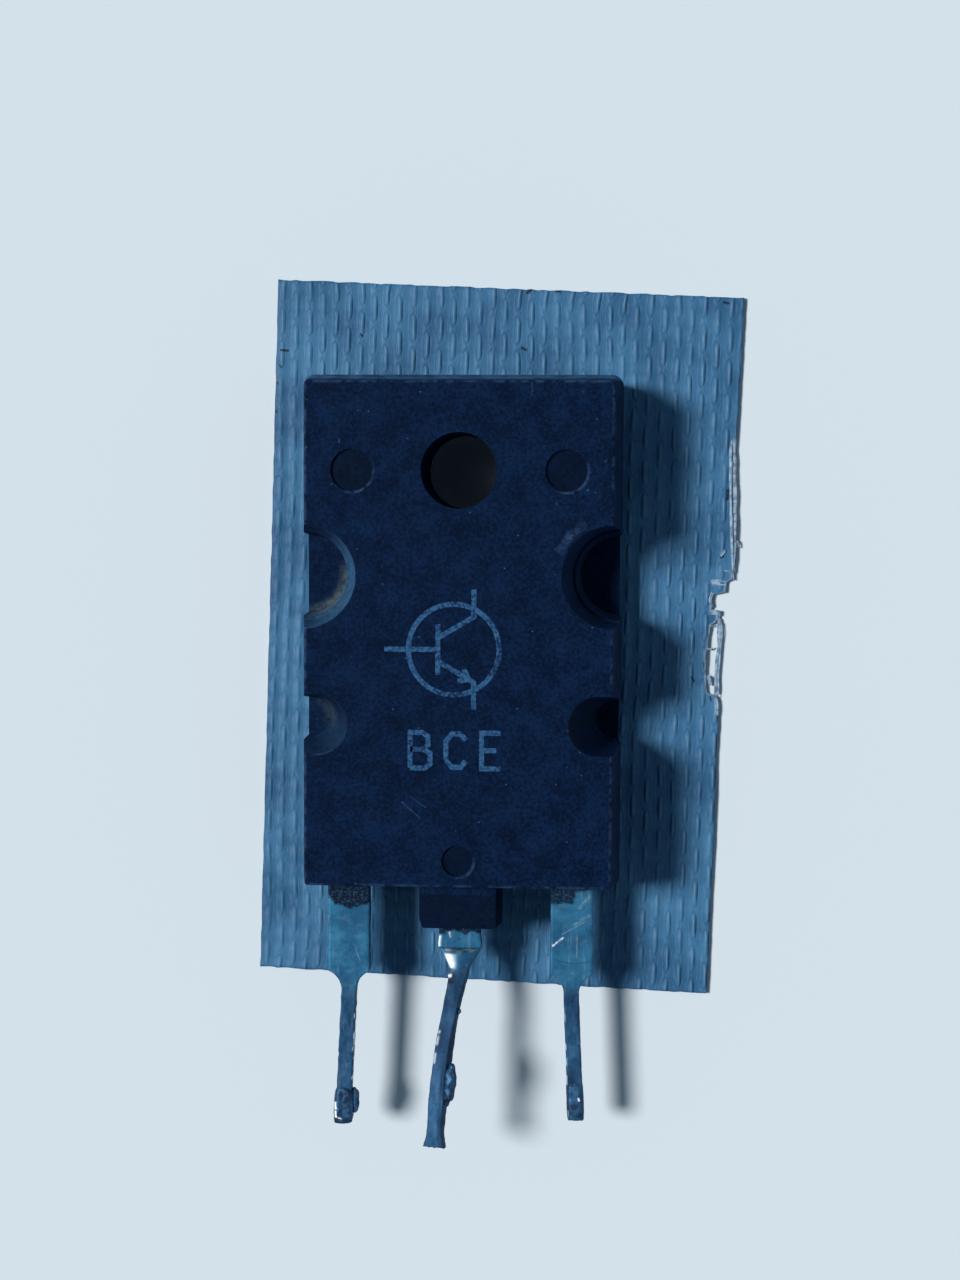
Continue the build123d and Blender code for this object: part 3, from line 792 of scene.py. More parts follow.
def padMaterial():
    # knuckles, pillows and grooves of the weave again, as a fine bump between the grid's points; painted
    # shade in the valleys and painted highlights on the crests
    material, tree, shader = startMaterial("coatedGlassCloth")
    place, x, y = placeInMm(tree)[:3]
    warp, weft = attribute(tree, "warpAt"), attribute(tree, "weftAt")
    column, row = calc("FLOOR", warp), calc("FLOOR", weft)
    over = minus(1.0, calc("PINGPONG", plus(column, row), 1.0))
    offWarp = calc("ABSOLUTE", minus(minus(warp, column), 0.5))
    offWeft = calc("ABSOLUTE", minus(minus(weft, row), 0.5))
    along = mixValue(over, minus(1.0, offWeft), offWeft)
    bluntly = calc("POWER", ratio(along, 0.76), 2.0)
    lens = reachOf(ratio(offWarp, 0.2), bluntly)
    crest = reachOf(ratio(offWarp, 0.09), bluntly)
    # the coating hides the weave in places, most beside the body's left side
    clear = step(noise(place, 0.5, 3.0), 0.36, 0.62)
    clear = mixValue(clear, 0.45, 1.0)
    clear = both(clear, mixValue(step(x, -8.4, -7.0), 0.5, 1.0))
    knuckle = both(larger(minus(1.0, lens), 0.0), clear)
    valley = both(step(lens, 0.75, 1.1), step(lens, 1.7, 1.15), clear)
    crest = both(step(crest, 1.0, 0.2), clear)
    rib = step(offWarp, 0.42, 0.08)
    pillow = step(offWeft, 0.52, 0.1)
    cloud = noise(place, 0.3, 4.0, 0.6)
    fibre = noise(stretched(place, (12.0, 1.4, 3.0)), 1.0, 3.0, 0.6)
    fine = noise(place, 9.0, 3.0, 0.6)
    seam = both(step(offWarp, 0.34, 0.5), step(fibre, 0.35, 0.6))
    colour = mixColour(step(cloud, 0.34, 0.66), padFinish["shade"], padFinish["cloth"])
    colour = mixColour(both(step(fibre, 0.5, 0.72), 0.22), colour, padFinish["rubbedAndHighlight"])
    # dark joints and dirt between the yarns, painted shade in the valleys round the knuckles, and a darker
    # strip along the pad's left edge
    grooveDirtAndShade = plus(both(valley, 0.2), both(seam, 0.16))
    grooveDirtAndShade = plus(grooveDirtAndShade, both(step(warp, 0.5, 0.1), 0.25))
    colour = mixColour(grooveDirtAndShade, colour, padFinish["grooveDirtAndShade"])
    # painted highlight on the knuckle crests, partly a rubbed coating
    colour = mixColour(both(crest, 0.38), colour, padFinish["rubbedAndHighlight"])
    distance, pick = cells(place, 0.7)
    crumb = both(step(distance, 0.055, 0.03), step(pick, 0.8, 0.82))
    for start, finish, width in padFinish["crumbs"]:
        mark = nearLine(x, y, padPlace(*start), padPlace(*finish), width)
        crumb = larger(crumb, mark)
    colour = mixColour(both(crumb, 0.9), colour, padFinish["dirt"])
    patch = noise(stretched(place, (1.2, 3.0, 1.0)), 1.0, 3.0, 0.6)
    fringeColour = mixColour(step(patch, 0.4, 0.56), padFinish["fringeDark"], padFinish["fringePale"])
    colour = mixColour(attribute(tree, "fringe"), colour, fringeColour)
    roughness = mixValue(fine, 0.36, 0.54)
    setInputs(shader, {"Base Color": colour, "Roughness": roughness, "Specular IOR Level": 0.14})
    height = minus(knuckle, both(valley, 0.3))
    height = plus(height, both(plus(rib, pillow), 0.25))
    height = plus(height, both(plus(fine, fibre), 0.2))
    addBump(shader, height, 0.05, 1.0)
    return material


def yarnMaterial():
    # dark and pale fibre mixed by noise
    material, tree, shader = startMaterial("looseGlassYarn")
    place = placeInMm(tree)[0]
    streak = noise(place, 3.0, 3.0, 0.6)
    colour = mixColour(step(streak, 0.34, 0.62), padFinish["yarnDark"], padFinish["yarnPale"])
    roughness = mixValue(streak, 0.35, 0.55)
    setInputs(shader, {"Base Color": colour, "Roughness": roughness, "Sheen Weight": 0.2})
    addBump(shader, noise(place, 16.0, 2.0), 0.02, 0.5)
    return material


# Loose yarns and broken bundles on the torn edge

fray = {
    "strandRadius": 0.03,
    # width, strands, and points of across, down and height
    "bundles": [
        (0.15, 7, [(22.72, 7.2, 0.24), (22.73, 8.2, 0.29), (22.83, 10.2, 0.3), (22.98, 12.43, 0.3),
                   (23.08, 13.5, 0.26), (23.14, 14.35, 0.2)]),
        (0.26, 12, [(22.5, 15.95, 0.2), (22.53, 16.3, 0.22), (22.56, 17.3, 0.22),
                    (22.5, 18.5, 0.22), (22.5, 20.0, 0.2)]),
        (0.36, 15, [(22.0, 14.3, 0.26), (22.4, 14.31, 0.26), (22.8, 14.33, 0.2)]),
        (0.3, 13, [(21.95, 15.82, 0.25), (22.3, 15.8, 0.26), (22.58, 15.83, 0.22)]),
        (0.18, 9, [(22.12, 14.8, 0.22), (22.0, 15.2, 0.3), (22.1, 15.56, 0.24)]),
        (0.16, 7, [(22.43, 13.0, 0.26), (22.56, 12.84, 0.3), (22.68, 12.68, 0.26)]),
        (0.18, 8, [(22.02, 18.95, 0.25), (22.14, 19.16, 0.27), (22.18, 19.45, 0.22)]),
        (0.2, 8, [(22.5, 20.05, 0.26), (22.56, 20.5, 0.29), (22.55, 20.95, 0.26)]),
        (0.06, 3, [(21.95, 17.58, 0.22), (22.1, 17.63, 0.24), (22.24, 17.56, 0.22)]),
        (0.04, 2, [(22.02, 16.4, 0.22), (22.14, 16.5, 0.22), (22.24, 16.42, 0.22)]),
        (0.08, 3, [(22.6, 13.7, 0.24), (22.9, 13.75, 0.26), (23.12, 13.9, 0.2)]),
        (0.05, 2, [(23.2, 12.2, 0.26), (23.28, 12.35, 0.24), (23.32, 12.55, 0.2)]),
    ],
}


def looseYarns(material):
    # each bundle is many thin tubes side by side along its line, with uneven ends
    shapes = []
    draw = np.random.default_rng(5)
    for width, strands, rows in fray["bundles"]:
        rows = np.array(rows)
        length = np.concatenate([[0], np.cumsum(np.linalg.norm(np.diff(rows, axis=0), axis=1))])
        for strand in range(strands):
            at = np.linspace(draw.uniform(0, 0.1), 1 - draw.uniform(0, 0.1), 48) * length[-1]
            line = np.stack([smoothThrough(length, rows[:, k], at) for k in range(3)], -1)
            heading = np.gradient(line, axis=0)
            aside = unitOf(np.stack([-heading[:, 1], heading[:, 0]], -1))
            shift = (width / 2 - fray["strandRadius"]) * (2 * (strand + 0.5) / strands - 1)
            sway = shift + 0.03 * softNoise(line * [1, 1, 0] + strand * 9.1, 0.7)
            x, y = padPlace(line[:, 0] + aside[:, 0] * sway, line[:, 1] + aside[:, 1] * sway)
            z = line[:, 2] + draw.uniform(-0.04, 0.04) + 0.02 * softNoise(line + strand * 5.7, 0.4)
            radius = fray["strandRadius"] * draw.uniform(0.75, 1.2)
            shapes.append(closedTube(roundTube(np.stack([x, y, z], -1), np.full(48, radius), 6)))
    return makePiece("looseYarns", *joinShapes(shapes), material, "pad_cloth")


# Leads

lead = {
    "pitch": 5.45,
    "flagEnd": -16.55,
    "flagStart": -18.55,
    "shoulder": -24.45,
    "neckEnd": -25.4,
    "flagWidth": 2.8,
    "stemWidth": 2.05,
    "legWidth": 0.75,
    "edgeRound": 0.07,
    "stationGap": 0.06,
    "root": -20.25,
}
outerLeads = {
    # the crust's depth below the root at shares across the stem, left to right
    "base": {
        "side": -1, "tip": -32.05, "lean": -0.3,
        "crust": [(-1, 0.35), (-0.7, 0.85), (0, 1.12), (0.5, 1.0), (1, 0.8)],
        "crustShare": 1.0, "dents": 0.014, "glints": 1.0, "tarnish": 0.6,
    },
    "emitter": {
        "side": 1, "tip": -31.65, "lean": 0.27,
        "crust": [(-1, 0.74), (0.05, 0.72), (0.2, 0.1), (1, 0.0)],
        "crustShare": 0.92, "dents": 0.008, "glints": 0.4, "tarnish": 1.0,
    },
}


def leadHalfWidth(y):
    # half the stem, then an arc into half the leg that is tangent to the leg; the flag is wider
    halfStem, halfLeg = lead["stemWidth"] / 2, lead["legWidth"] / 2
    rise, run = lead["shoulder"] - lead["neckEnd"], halfStem - halfLeg
    radius = (run ** 2 + rise ** 2) / (2 * run)
    up = np.clip(y - lead["neckEnd"], 0, rise)
    neck = halfLeg + radius - np.sqrt(radius ** 2 - up ** 2)
    return np.where(y > lead["flagStart"], lead["flagWidth"] / 2, neck)


def leadStations(start, finish, breaks):
    # evenly spaced places down a lead, with a pair at each sudden change
    even = np.arange(start, finish, -lead["stationGap"])
    pairs = [place + gap for place in breaks for gap in (1e-4, -1e-4)]
    return np.unique(np.concatenate([even, pairs, [finish]]))[::-1]


def leadPiece(name, points, material, attributes):
    # a closed tube with one value of each attribute for a point, and none on the ends
    shell, faces = closedTube(points)
    attributes = {label: np.append(values.ravel(), [0, 0]) for label, values in attributes.items()}
    return makePiece(name, shell, faces, material, "lead_metal", attributes=attributes)


def straightLead(y, sizes):
    # centre line of an outer lead, leaning evenly below its neck, with its side and up directions
    leaning = np.maximum((lead["neckEnd"] - y) / (lead["neckEnd"] - sizes["tip"]), 0)
    x = sizes["side"] * lead["pitch"] + sizes["lean"] * leaning
    centres = np.stack([x, y, np.full_like(y, leadMiddle)], -1)
    sides, ups = (np.broadcast_to(way, centres.shape) for way in ([1.0, 0, 0], [0, 0, 1.0]))
    return centres, sides, ups


def outerLead(name, sizes, material):
    # a round-cornered strip: stem, neck and leaning leg, roughened where the flux crust clings
    y = leadStations(lead["flagEnd"], sizes["tip"], [lead["flagStart"]])
    centres, sides, ups = straightLead(y, sizes)
    half = leadHalfWidth(y) * (1 + 0.012 * softNoise(centres, 0.7))
    thick = np.full_like(y, (leadFront - leadBack) / 2)
    points = sweptBar(centres, sides, ups, half, thick, lead["edgeRound"], barProfile(22, 4))
    across = (points[..., 0] - centres[:, None, 0]) / (lead["stemWidth"] / 2)
    below = lead["root"] - points[..., 1]
    edge = np.array(sizes["crust"])
    depth = np.interp(across, edge[:, 0], edge[:, 1])
    depth = depth * (1 + 0.12 * softNoise(points, 0.35) + 0.1 * softNoise(points, 0.13))
    crust = (1 - ease(below, depth - 0.06, depth + 0.03)) * ease(points[..., 2], leadBack, leadMiddle)
    crust = crust * sizes["crustShare"]
    rough = crust * (0.02 + 0.02 * softNoise(points, 0.09)) * ease(below, 0, 0.05)
    outward = (points - centres[:, None]) * [1, 0, 1]
    outward /= np.maximum(np.linalg.norm(outward, axis=-1, keepdims=True), 1e-6)
    leg = ease(-points[..., 1], -lead["shoulder"] + 0.2, -lead["neckEnd"] + 0.5)
    dents = (0.007 + sizes["dents"] * leg) * softNoise(points, 0.22) * ease(below, 0.1, 0.5)
    raised = np.array([0, 0, 1.0]) * (rough * (points[..., 2] > leadMiddle))[..., None]
    points = points + raised + outward * dents[..., None]
    # painted glints along the leg's inner edge, below its neck
    edgeOn = ease(sizes["side"] * -across, 0.29, 0.35)
    wearAndHighlight = ease(softNoise(points * [1, 0.5, 1], 0.12), 0.1, 0.35) * edgeOn
    wearAndHighlight = wearAndHighlight * ease(below, 5.9, 6.3) * sizes["glints"]
    patches = np.clip(0.6 + 0.8 * softNoise(points * [1, 0.5, 1], 0.55), 0, 1)
    attributes = {"crust": crust, "leg": leg, "wearAndHighlight": wearAndHighlight, "tarnish": leg * sizes["tarnish"] * patches}
    piece = leadPiece(name + "Lead", points, material, attributes)
    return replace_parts(piece, name + "_lead")


# Centre lead with the hidden paddle

centre = {
    "crease": -23.25,
    "legTop": -24.3,
    "legLength": 8.25,
    "lean": -1.05,
    "lift": 2.2,
    "twist": 24.0,
    "dome": 0.12,
    # painted highlights on stretches of the leg's left edge: from and to, down from the hole
    "glints": [(26.95, 27.75), (27.95, 28.6)],
    # down the leg: along, lean, lift, width and twist
    "stations": [
        (0.00, 0.00, 0.18, 1.22, 0.10),
        (0.21, 0.33, 0.50, 0.98, 0.45),
        (0.40, 0.58, 0.64, 1.00, 1.00),
        (0.74, 0.87, 0.86, 1.08, 0.80),
        (0.95, 0.98, 0.97, 1.15, 0.40),
        (1.00, 1.00, 1.00, 1.45, 0.30),
    ],
    "rampTop": -19.25,
    "rampFoot": -17.65,
    "paddleOverlap": -16.05,
    "paddleWidth": 9.6,
    "paddleTop": 3.4,
    "paddleBack": 1.05,
    "paddleFront": 2.35,
    "paddleHole": 2.6,
}


def centrePath():
    # centre line, side directions and half widths, from the ramp under the resin to the cut tip
    rows = np.array(centre["stations"])
    along = np.linspace(0, 1, 150)
    lean, lift, width, twist = (smoothThrough(rows[:, 0], rows[:, k], along) for k in range(1, 5))
    legX, legY = centre["lean"] * lean, centre["legTop"] - centre["legLength"] * along
    leg = np.stack([legX, legY, leadMiddle + centre["lift"] * lift], -1)
    turn = np.radians(centre["twist"] * twist)
    legHalf = lead["legWidth"] / 2 * width
    rampMiddle = centre["paddleFront"] - (leadFront - leadBack) / 2
    keys = [centre["paddleOverlap"], centre["rampFoot"], centre["rampTop"], centre["crease"]]
    heights = [rampMiddle, rampMiddle, leadMiddle, leadMiddle]
    y = np.arange(keys[0], keys[-1], -lead["stationGap"])
    stem = np.stack([0 * y, y, np.interp(-y, -np.array(keys), heights)], -1)
    share = np.linspace(0, 1, 22)[:-1]
    funnel = np.array([0, centre["crease"], leadMiddle]) * (1 - share[:, None]) + leg[0] * share[:, None]
    stemHalf = lead["stemWidth"] / 2
    pinch = legHalf[0] + (stemHalf - legHalf[0]) * (1 - share) ** 1.15
    spread = stemHalf * (1 + 0.025 * np.exp(-((y - centre["crease"] - 0.2) / 0.3) ** 2))
    centres = np.concatenate([stem, funnel, leg])
    halves = np.concatenate([spread, pinch, legHalf])
    turns = np.concatenate([np.zeros(len(y)), turn[0] * share, turn])
    return centres, np.stack([np.cos(turns), 0 * turns, np.sin(turns)], -1), halves


def centreLead(material):
    # the strip's section along the bent, twisted centre line, domed at the funnel, with a ragged cut end
    centres, hints, halves = centrePath()
    sides, ups = pathFrames(centres, hints)
    halves = halves * (1 + 0.02 * softNoise(centres, 0.5))
    thick = np.full(len(centres), (leadFront - leadBack) / 2)
    points = sweptBar(centres, sides, ups, halves, thick, lead["edgeRound"], barProfile(16, 4))
    fromCentre = points - centres[:, None]
    down = -points[..., 1]
    across = np.sum(fromCentre * sides[:, None], -1) / halves[:, None]
    front = np.sum(fromCentre * ups[:, None], -1) > 0
    outward = unitOf(fromCentre)
    dents = 0.012 * softNoise(points, 0.25) * ease(down, 23, 24)
    dents = dents + 0.01 * softNoise(points, 0.12) * ease(down, 24, 25)
    funnel = ease(down, 23.2, 23.5) * (1 - ease(down, 24.1, 25.0))
    dome = centre["dome"] * funnel * (1 - across ** 2) * front
    points = points + outward * dents[..., None] + ups[:, None] * dome[..., None]
    points[-1] += [0, 0.05, 0] * (1 + softNoise(points[-1], 0.13)[:, None])
    leg = ease(down, -centre["crease"] + 0.6, -centre["legTop"] + 0.3)
    # painted highlights: a line along the crease, a shine on the funnel's left, the stem's left edge and
    # glints down the leg's left edge
    bent = down + centre["crease"] - 0.1 + 0.12 * across ** 2
    crease = np.exp(-(bent / 0.07) ** 2) * ease(softNoise(points, 0.3), -0.5, 0.3)
    shine = ease(down, 23.4, 23.6) * (1 - ease(down, 23.85, 24.4))
    shine = 0.66 * shine * ease(across, -1.1, -0.7) * (1 - ease(across, -0.75, 0))
    shine = shine * ease(softNoise(points, 0.22), -1.2, 0)
    leftEdge = 1 - ease(across, -0.97, -0.86)
    stemEdge = leftEdge * ease(down, 22.55, 22.65) * (1 - ease(down, 23.1, 23.2))
    glints = 0
    for low, high in centre["glints"]:
        glints = glints + ease(down, low, low + 0.08) * (1 - ease(down, high - 0.08, high))
    glints = glints * ease(across, -0.95, -0.8) * (1 - ease(across, -0.7, -0.45))
    glints = glints * front * ease(softNoise(points, 0.2), -0.9, 0)
    wearAndHighlight = np.clip(crease * 0.6 + shine + stemEdge * 0.8 + glints * 0.55, 0, 1)
    flash = 22.42 + 0.14 * softNoise(points, 0.3)
    spots = ease(softNoise(points, 0.2), 0.4, 0.65) * 0.5
    crust = np.maximum(1 - ease(down, flash - 0.04, flash + 0.05), spots)
    crust = crust * (1 - ease(down, 22.5, 22.9)) * front
    # painted shade: the leg's lower half is less tarnished except its right side, which stays dark as if
    # shaded
    tarnishWithRightShade = 1 - 0.5 * ease(down, 27.6, 29.2) * (1 - ease(across, 0.2, 0.6))
    patches = 0.85 + 0.25 * softNoise(points * [1, 0.5, 1], 0.4)
    attributes = {"crust": crust, "leg": leg, "wearAndHighlight": wearAndHighlight, "tarnish": leg * tarnishWithRightShade * patches}
    piece = leadPiece("collectorLead", points, material, attributes)
    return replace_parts(piece, "collector_frame")


def heatPaddle(material):
    # a plate with a round hole: a four-cornered section carried round, from the hole out to the rim
    angle = np.linspace(0, 2 * np.pi, 160, endpoint=False)
    direction = np.stack([np.cos(angle), np.sin(angle)], -1)
    reachX = centre["paddleWidth"] / 2 / np.maximum(np.abs(direction[:, 0]), 1e-6)
    limitY = np.where(direction[:, 1] > 0, centre["paddleTop"], -centre["rampFoot"])
    reach = np.minimum(reachX, limitY / np.maximum(np.abs(direction[:, 1]), 1e-6))
    inner, outer = direction * centre["paddleHole"], direction * reach[:, None]
    low, high = centre["paddleBack"], centre["paddleFront"]
    ring = [(inner, low), (inner, high), (outer, high), (outer, low)]
    points = np.stack([np.concatenate([flat, np.full((len(angle), 1), z)], 1) for flat, z in ring], 1)
    faces = gridQuads(len(angle) + 1, 4, True) % (len(angle) * 4)
    piece = makePiece("heatPaddle", points.reshape(-1, 3), faces, material, "lead_metal", smooth=False)
    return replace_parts(piece, "collector_frame")


# Solder

solder = {
    "coat": {"base": 0.11, "emitter": 0.05},
    "lumps": {"base": 0.04, "emitter": 0.015},
    "lengths": {"base": 1.75, "emitter": 1.85},
    "tip": 0.07,
    # along the coat: share of its length and of its thickness
    "swell": [(0.0, 0.1), (0.12, 0.7), (0.45, 1.0), (0.8, 0.9), (0.94, 0.6), (1.0, 0.05)],
    # painted glints: start, finish, half width and strength
    "glints": [
        ((-6.12, -31.02), (-6.1, -31.3), 0.08, 1.0),
        ((-6.1, -31.45), (-6.08, -31.7), 0.08, 1.0),
        ((-5.95, -31.75), (-5.8, -31.8), 0.05, 0.6),
        ((5.85, -30.55), (5.88, -30.65), 0.07, 1.0),
    ],
    "dark": srgb(12, 38, 64),
    "light": srgb(40, 82, 116),
    "pit": srgb(14, 22, 34),
    "wearAndHighlight": srgb(226, 236, 242),
    # fin on the base lead: beside the leg, below the coat's start and above the lead's middle
    "finPlace": (0.15, 0.6, 0.05),
    # half sizes, roughness and grain
    "fin": ((0.22, 0.17, 0.62), 0.2, 0.3),
    # lumps on the centre leg: place along it, across in half widths, up, half sizes, roughness and grain
    "drops": [
        (0.63, 1.3, 0.0, (0.31, 0.3, 0.95), 0.3, 0.3),
        (0.54, 1.6, 0.1, (0.18, 0.18, 0.24), 0.2, 0.2),
        (0.70, 1.5, 0.05, (0.17, 0.18, 0.26), 0.2, 0.2),
        (0.60, 1.62, 0.05, (0.2, 0.2, 0.34), 0.2, 0.2),
        (0.215, 1.1, 0.02, (0.11, 0.1, 0.15), 0.15, 0.15),
    ],
    "bead": (0.04, -0.75, 0.33, (0.13, 0.12, 0.16), 0.08, 0.2),
}


def solderMaterial():
    # dark and light solder mixed by noise, with pits and painted glints
    material, tree, shader = startMaterial("lumpySolder")
    place, x, y, z = placeInMm(tree)
    fine = noise(place, 5.0, 3.0, 0.6)
    cloud = noise(place, 2.0, 3.0, 0.6)
    colour = mixColour(step(cloud, 0.36, 0.66), solder["dark"], solder["light"])
    colour = mixColour(both(step(fine, 0.44, 0.32), 0.8), colour, solder["pit"])
    onTop = step(z, leadMiddle, leadMiddle + 0.1)
    glint = 0.0
    for start, finish, width, strength in solder["glints"]:
        spot = both(nearLine(x, y, start, finish, width), onTop, strength)
        glint = larger(spot, glint)
    colour = mixColour(glint, colour, solder["wearAndHighlight"])
    setInputs(shader, {"Base Color": colour, "Metallic": 0.7, "Roughness": mixValue(cloud, 0.36, 0.6)})
    addBump(shader, plus(fine, cloud), 0.03, 0.5)
    return material


def lumpyBall(middle, axes, sizes, rough, grainSize, rows=28, columns=36):
    # an ellipsoid by latitude and longitude, pushed in and out by noise
    latitude = np.linspace(0.02, np.pi - 0.02, rows)[:, None]
    longitude = np.linspace(0, 2 * np.pi, columns, endpoint=False)[None, :]
    ring = np.sin(latitude)
    unit = [ring * np.cos(longitude), ring * np.sin(longitude), np.cos(latitude) + 0 * longitude]
    points = np.asarray(middle) + (np.stack(unit, -1) * sizes) @ np.asarray(axes)
    swell = 1 + rough * softNoise(points, grainSize) + 0.5 * rough * softNoise(points, grainSize / 2.3)
    return closedTube((np.asarray(middle) + (points - middle) * swell[..., None])[::-1])


def endSolder(name, sizes, material):
    # the leg's section, thickened along its end and made lumpy, with a fin on the base lead's
    length = solder["lengths"][name]
    share = np.linspace(0, 1, 60)
    y = sizes["tip"] + length - (length + solder["tip"]) * share
    centres, sides, ups = straightLead(y, sizes)
    rows = np.array(solder["swell"])
    swell = solder["coat"][name] * np.interp(share, rows[:, 0], rows[:, 1])
    shrink = 1 - 0.55 * ease(share, 0.955, 1.0)
    half = (lead["legWidth"] / 2 + swell) * shrink
    thick = ((leadFront - leadBack) / 2 + swell) * shrink
    points = sweptBar(centres, sides, ups, half, thick, 0.24, barProfile(12, 6))
    outward = unitOf(points - centres[:, None])
    lumps = softNoise(points, 0.42) + 0.4 * softNoise(points, 0.16)
    points = points + outward * (solder["lumps"][name] * lumps * ease(share, 0, 0.1)[:, None])[..., None]
    shapes = [closedTube(points)]
    if name == "base":
        aside, below, above = solder["finPlace"]
        finX = centres[20, 0] + lead["legWidth"] / 2 + aside
        finMiddle = (finX, sizes["tip"] + length - below, leadMiddle + above)
        finAxes = ((1.0, 0, 0), (0, 0, 1), (0, -1, 0))
        shapes.append(lumpyBall(np.array(finMiddle), finAxes, *solder["fin"]))
    piece = makePiece(name + "Solder", *joinShapes(shapes), material, "solder")
    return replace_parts(piece, name + "_lead_solder")


def legSpot(along):
    # place, directions and half width at a share of the way down the centre leg
    centres, hints, halves = centrePath()
    spot = np.argmin(np.abs(centres[:, 1] - (centre["legTop"] - centre["legLength"] * along)))
    heading = unitOf(centres[spot + 3] - centres[spot - 3])
    up = unitOf(np.cross(heading, hints[spot]))
    return centres[spot], np.stack([np.cross(up, heading), up, heading]), halves[spot]


def collectorSolder(material):
    # a long lump on the right edge of the leg with small drops on it, and a nub higher up
    shapes = []
    for along, across, up, *form in solder["drops"]:
        middle, axes, half = legSpot(along)
        shapes.append(lumpyBall(middle + axes[0] * across * half + axes[1] * up, axes, *form))
    piece = makePiece("collectorSolder", *joinShapes(shapes), material, "solder")
    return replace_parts(piece, "collector_lead_solder")


def solderBead(material):
    # a bright bead of fresh solder near the top of the centre leg
    along, across, up, *form = solder["bead"]
    middle, axes, half = legSpot(along)
    shape = lumpyBall(middle + axes[0] * across * half + axes[1] * up, axes, *form)
    return makePiece("solderBead", *shape, material, "solder")


# Finishes of the pieces that are hidden in the resin

def plainMetal(name, low, high, roughness):
    # two tints mixed by noise
    material, tree, shader = startMaterial(name)
    place = placeInMm(tree)[0]
    cloud = noise(place, 4.0, 3.0)
    colour, roughness = mixColour(cloud, low, high), mixValue(cloud, roughness, roughness + 0.15)
    setInputs(shader, {"Base Color": colour, "Metallic": 0.9, "Roughness": roughness})
    return material


def dressNode(name, material):
    # one material in place of a CAD node's own
    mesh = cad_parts[name].data
    mesh.materials.clear()
    mesh.materials.append(material)


# Build

resinSkin = resinMaterial()
leadSkin = leadMaterial()
solderSkin = solderMaterial()
padSkin = padMaterial()
yarnSkin = yarnMaterial()
print("materials made")

dressNode("moulded_body", resinSkin)
dressNode("die_solder", solderSkin)
dressNode("transistor_die", plainMetal("polishedSilicon", srgb(120, 124, 136), srgb(142, 146, 158), 0.15))
bondWireSkin = plainMetal("bondWire", srgb(206, 207, 210), srgb(226, 226, 228), 0.3)
for wire in ("base_wire", "emitter_wire_left", "emitter_wire_right"):
    dressNode(wire, bondWireSkin)
wornPrint(inkMaterial())
print("body and hidden pieces dressed")

sheet = padSheet(padSkin)
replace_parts(sheet, "insulating_pad")
yarns = looseYarns(yarnSkin)
print("pad woven,", len(sheet.data.polygons), "faces")

for leadName, leadSizes in outerLeads.items():
    outerLead(leadName, leadSizes, leadSkin)
    endSolder(leadName, leadSizes, solderSkin)
centreLead(leadSkin)
heatPaddle(leadSkin)
collectorSolder(solderSkin)
solderBead(plainMetal("freshSolder", srgb(214, 220, 224), srgb(240, 242, 244), 0.2))
print("leads and solder made")


# Floor, light and camera

stageSizes = {
    "floorHalf": 3.0,
    "floorColour": (0.72, 0.79, 0.83, 1.0),
    # what lights the part, and the lit floor's colour, which the camera and reflections meet beyond it
    "skyColour": (0.5, 0.76, 1.0, 1.0),
    "skyStrength": 0.21,
    "overhead": (0.84, 0.95),
    "overheadShare": 0.2,
    "backdrop": (0.66, 0.765, 0.844, 1.0),
    "keyDirection": (-0.578, 0.139, 0.804),
    "keyAngle": 13.5,
    "keyStrength": 3.19,
    "cameraPlace": (6.62, -1.84, 100.54),
    "cameraTurn": (3.71, -3.36, -0.5),
    "lens": 56.64,
    "clip": (0.002, 20.0),
}


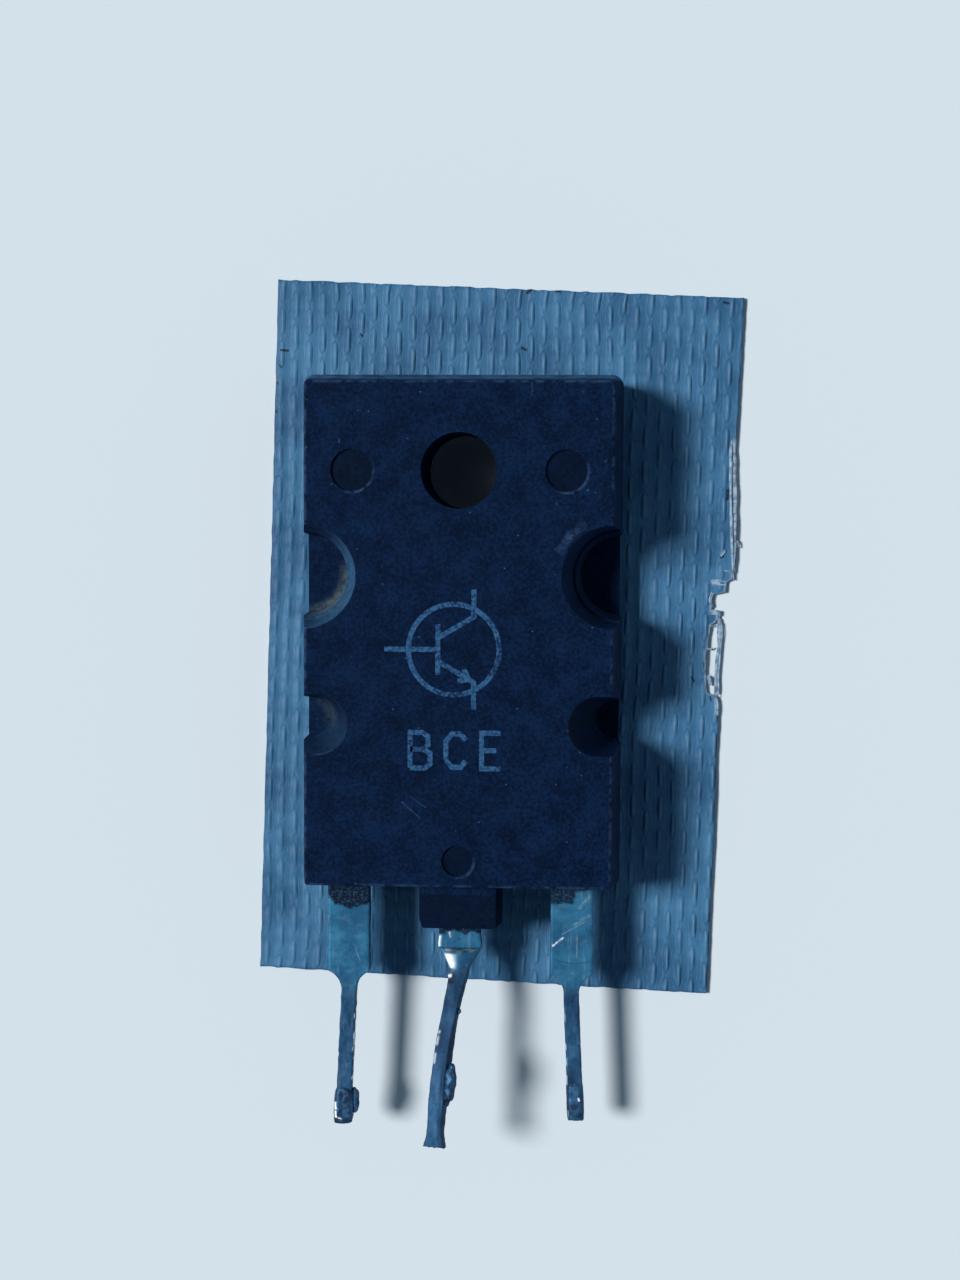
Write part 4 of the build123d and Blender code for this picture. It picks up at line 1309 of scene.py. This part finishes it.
def plainFloor():
    # one flat pale square under the part
    half = stageSizes["floorHalf"]
    corners = [(-half, -half, 0), (half, -half, 0), (half, half, 0), (-half, half, 0)]
    mesh = bpy.data.meshes.new("floor")
    mesh.from_pydata(corners, [], [[0, 1, 2, 3]])
    material, _, shader = startMaterial("paleFloor")
    setInputs(shader, {"Base Color": stageSizes["floorColour"], "Roughness": 0.9, "Specular IOR Level": 0.1})
    mesh.materials.append(material)
    floor = bpy.data.objects.new("floor", mesh)
    bpy.context.scene.collection.objects.link(floor)


def softLight():
    # a wide soft sun, and a sky that is darker straight overhead, where a camera would block it; the camera
    # and reflections meet the floor's colour there instead
    world = bpy.data.worlds.new("studio")
    world.use_nodes = True
    tree = world.node_tree
    background = tree.nodes["Background"]
    rays = tree.nodes.new("ShaderNodeLightPath")
    seen = larger(rays.outputs["Is Glossy Ray"], rays.outputs["Is Transmission Ray"])
    seen = larger(seen, rays.outputs["Is Camera Ray"])
    coordinates = tree.nodes.new("ShaderNodeTexCoord")
    split = tree.nodes.new("ShaderNodeSeparateXYZ")
    feed(split.inputs[0], coordinates.outputs["Generated"])
    overhead = step(split.outputs[2], *stageSizes["overhead"])
    sky = both(mixValue(overhead, 1.0, stageSizes["overheadShare"]), stageSizes["skyStrength"])
    feed(background.inputs["Color"], mixColour(seen, stageSizes["skyColour"], stageSizes["backdrop"]))
    feed(background.inputs["Strength"], mixValue(seen, sky, 1.0))
    bpy.context.scene.world = world
    lamp = bpy.data.lights.new("key", "SUN")
    lamp.angle = radians(stageSizes["keyAngle"])
    lamp.energy = stageSizes["keyStrength"]
    key = bpy.data.objects.new("key", lamp)
    key.rotation_mode = "QUATERNION"
    key.rotation_quaternion = Vector(stageSizes["keyDirection"]).to_track_quat("Z", "Y")
    bpy.context.scene.collection.objects.link(key)


def photoCamera():
    # stands where the photo was taken; its turn is the inverse of the turn of the part in its view
    lens = bpy.data.cameras.new("camera")
    lens.lens = stageSizes["lens"]
    lens.clip_start, lens.clip_end = stageSizes["clip"]
    camera = bpy.data.objects.new("camera", lens)
    camera.location = Vector(stageSizes["cameraPlace"]) * mm
    turn = Euler([radians(angle) for angle in stageSizes["cameraTurn"]]).to_matrix().transposed()
    camera.rotation_euler = turn.to_euler()
    bpy.context.scene.collection.objects.link(camera)
    bpy.context.scene.camera = camera


plainFloor()
softLight()
photoCamera()
bpy.context.scene.view_settings.view_transform = "Standard"
print("stage set")
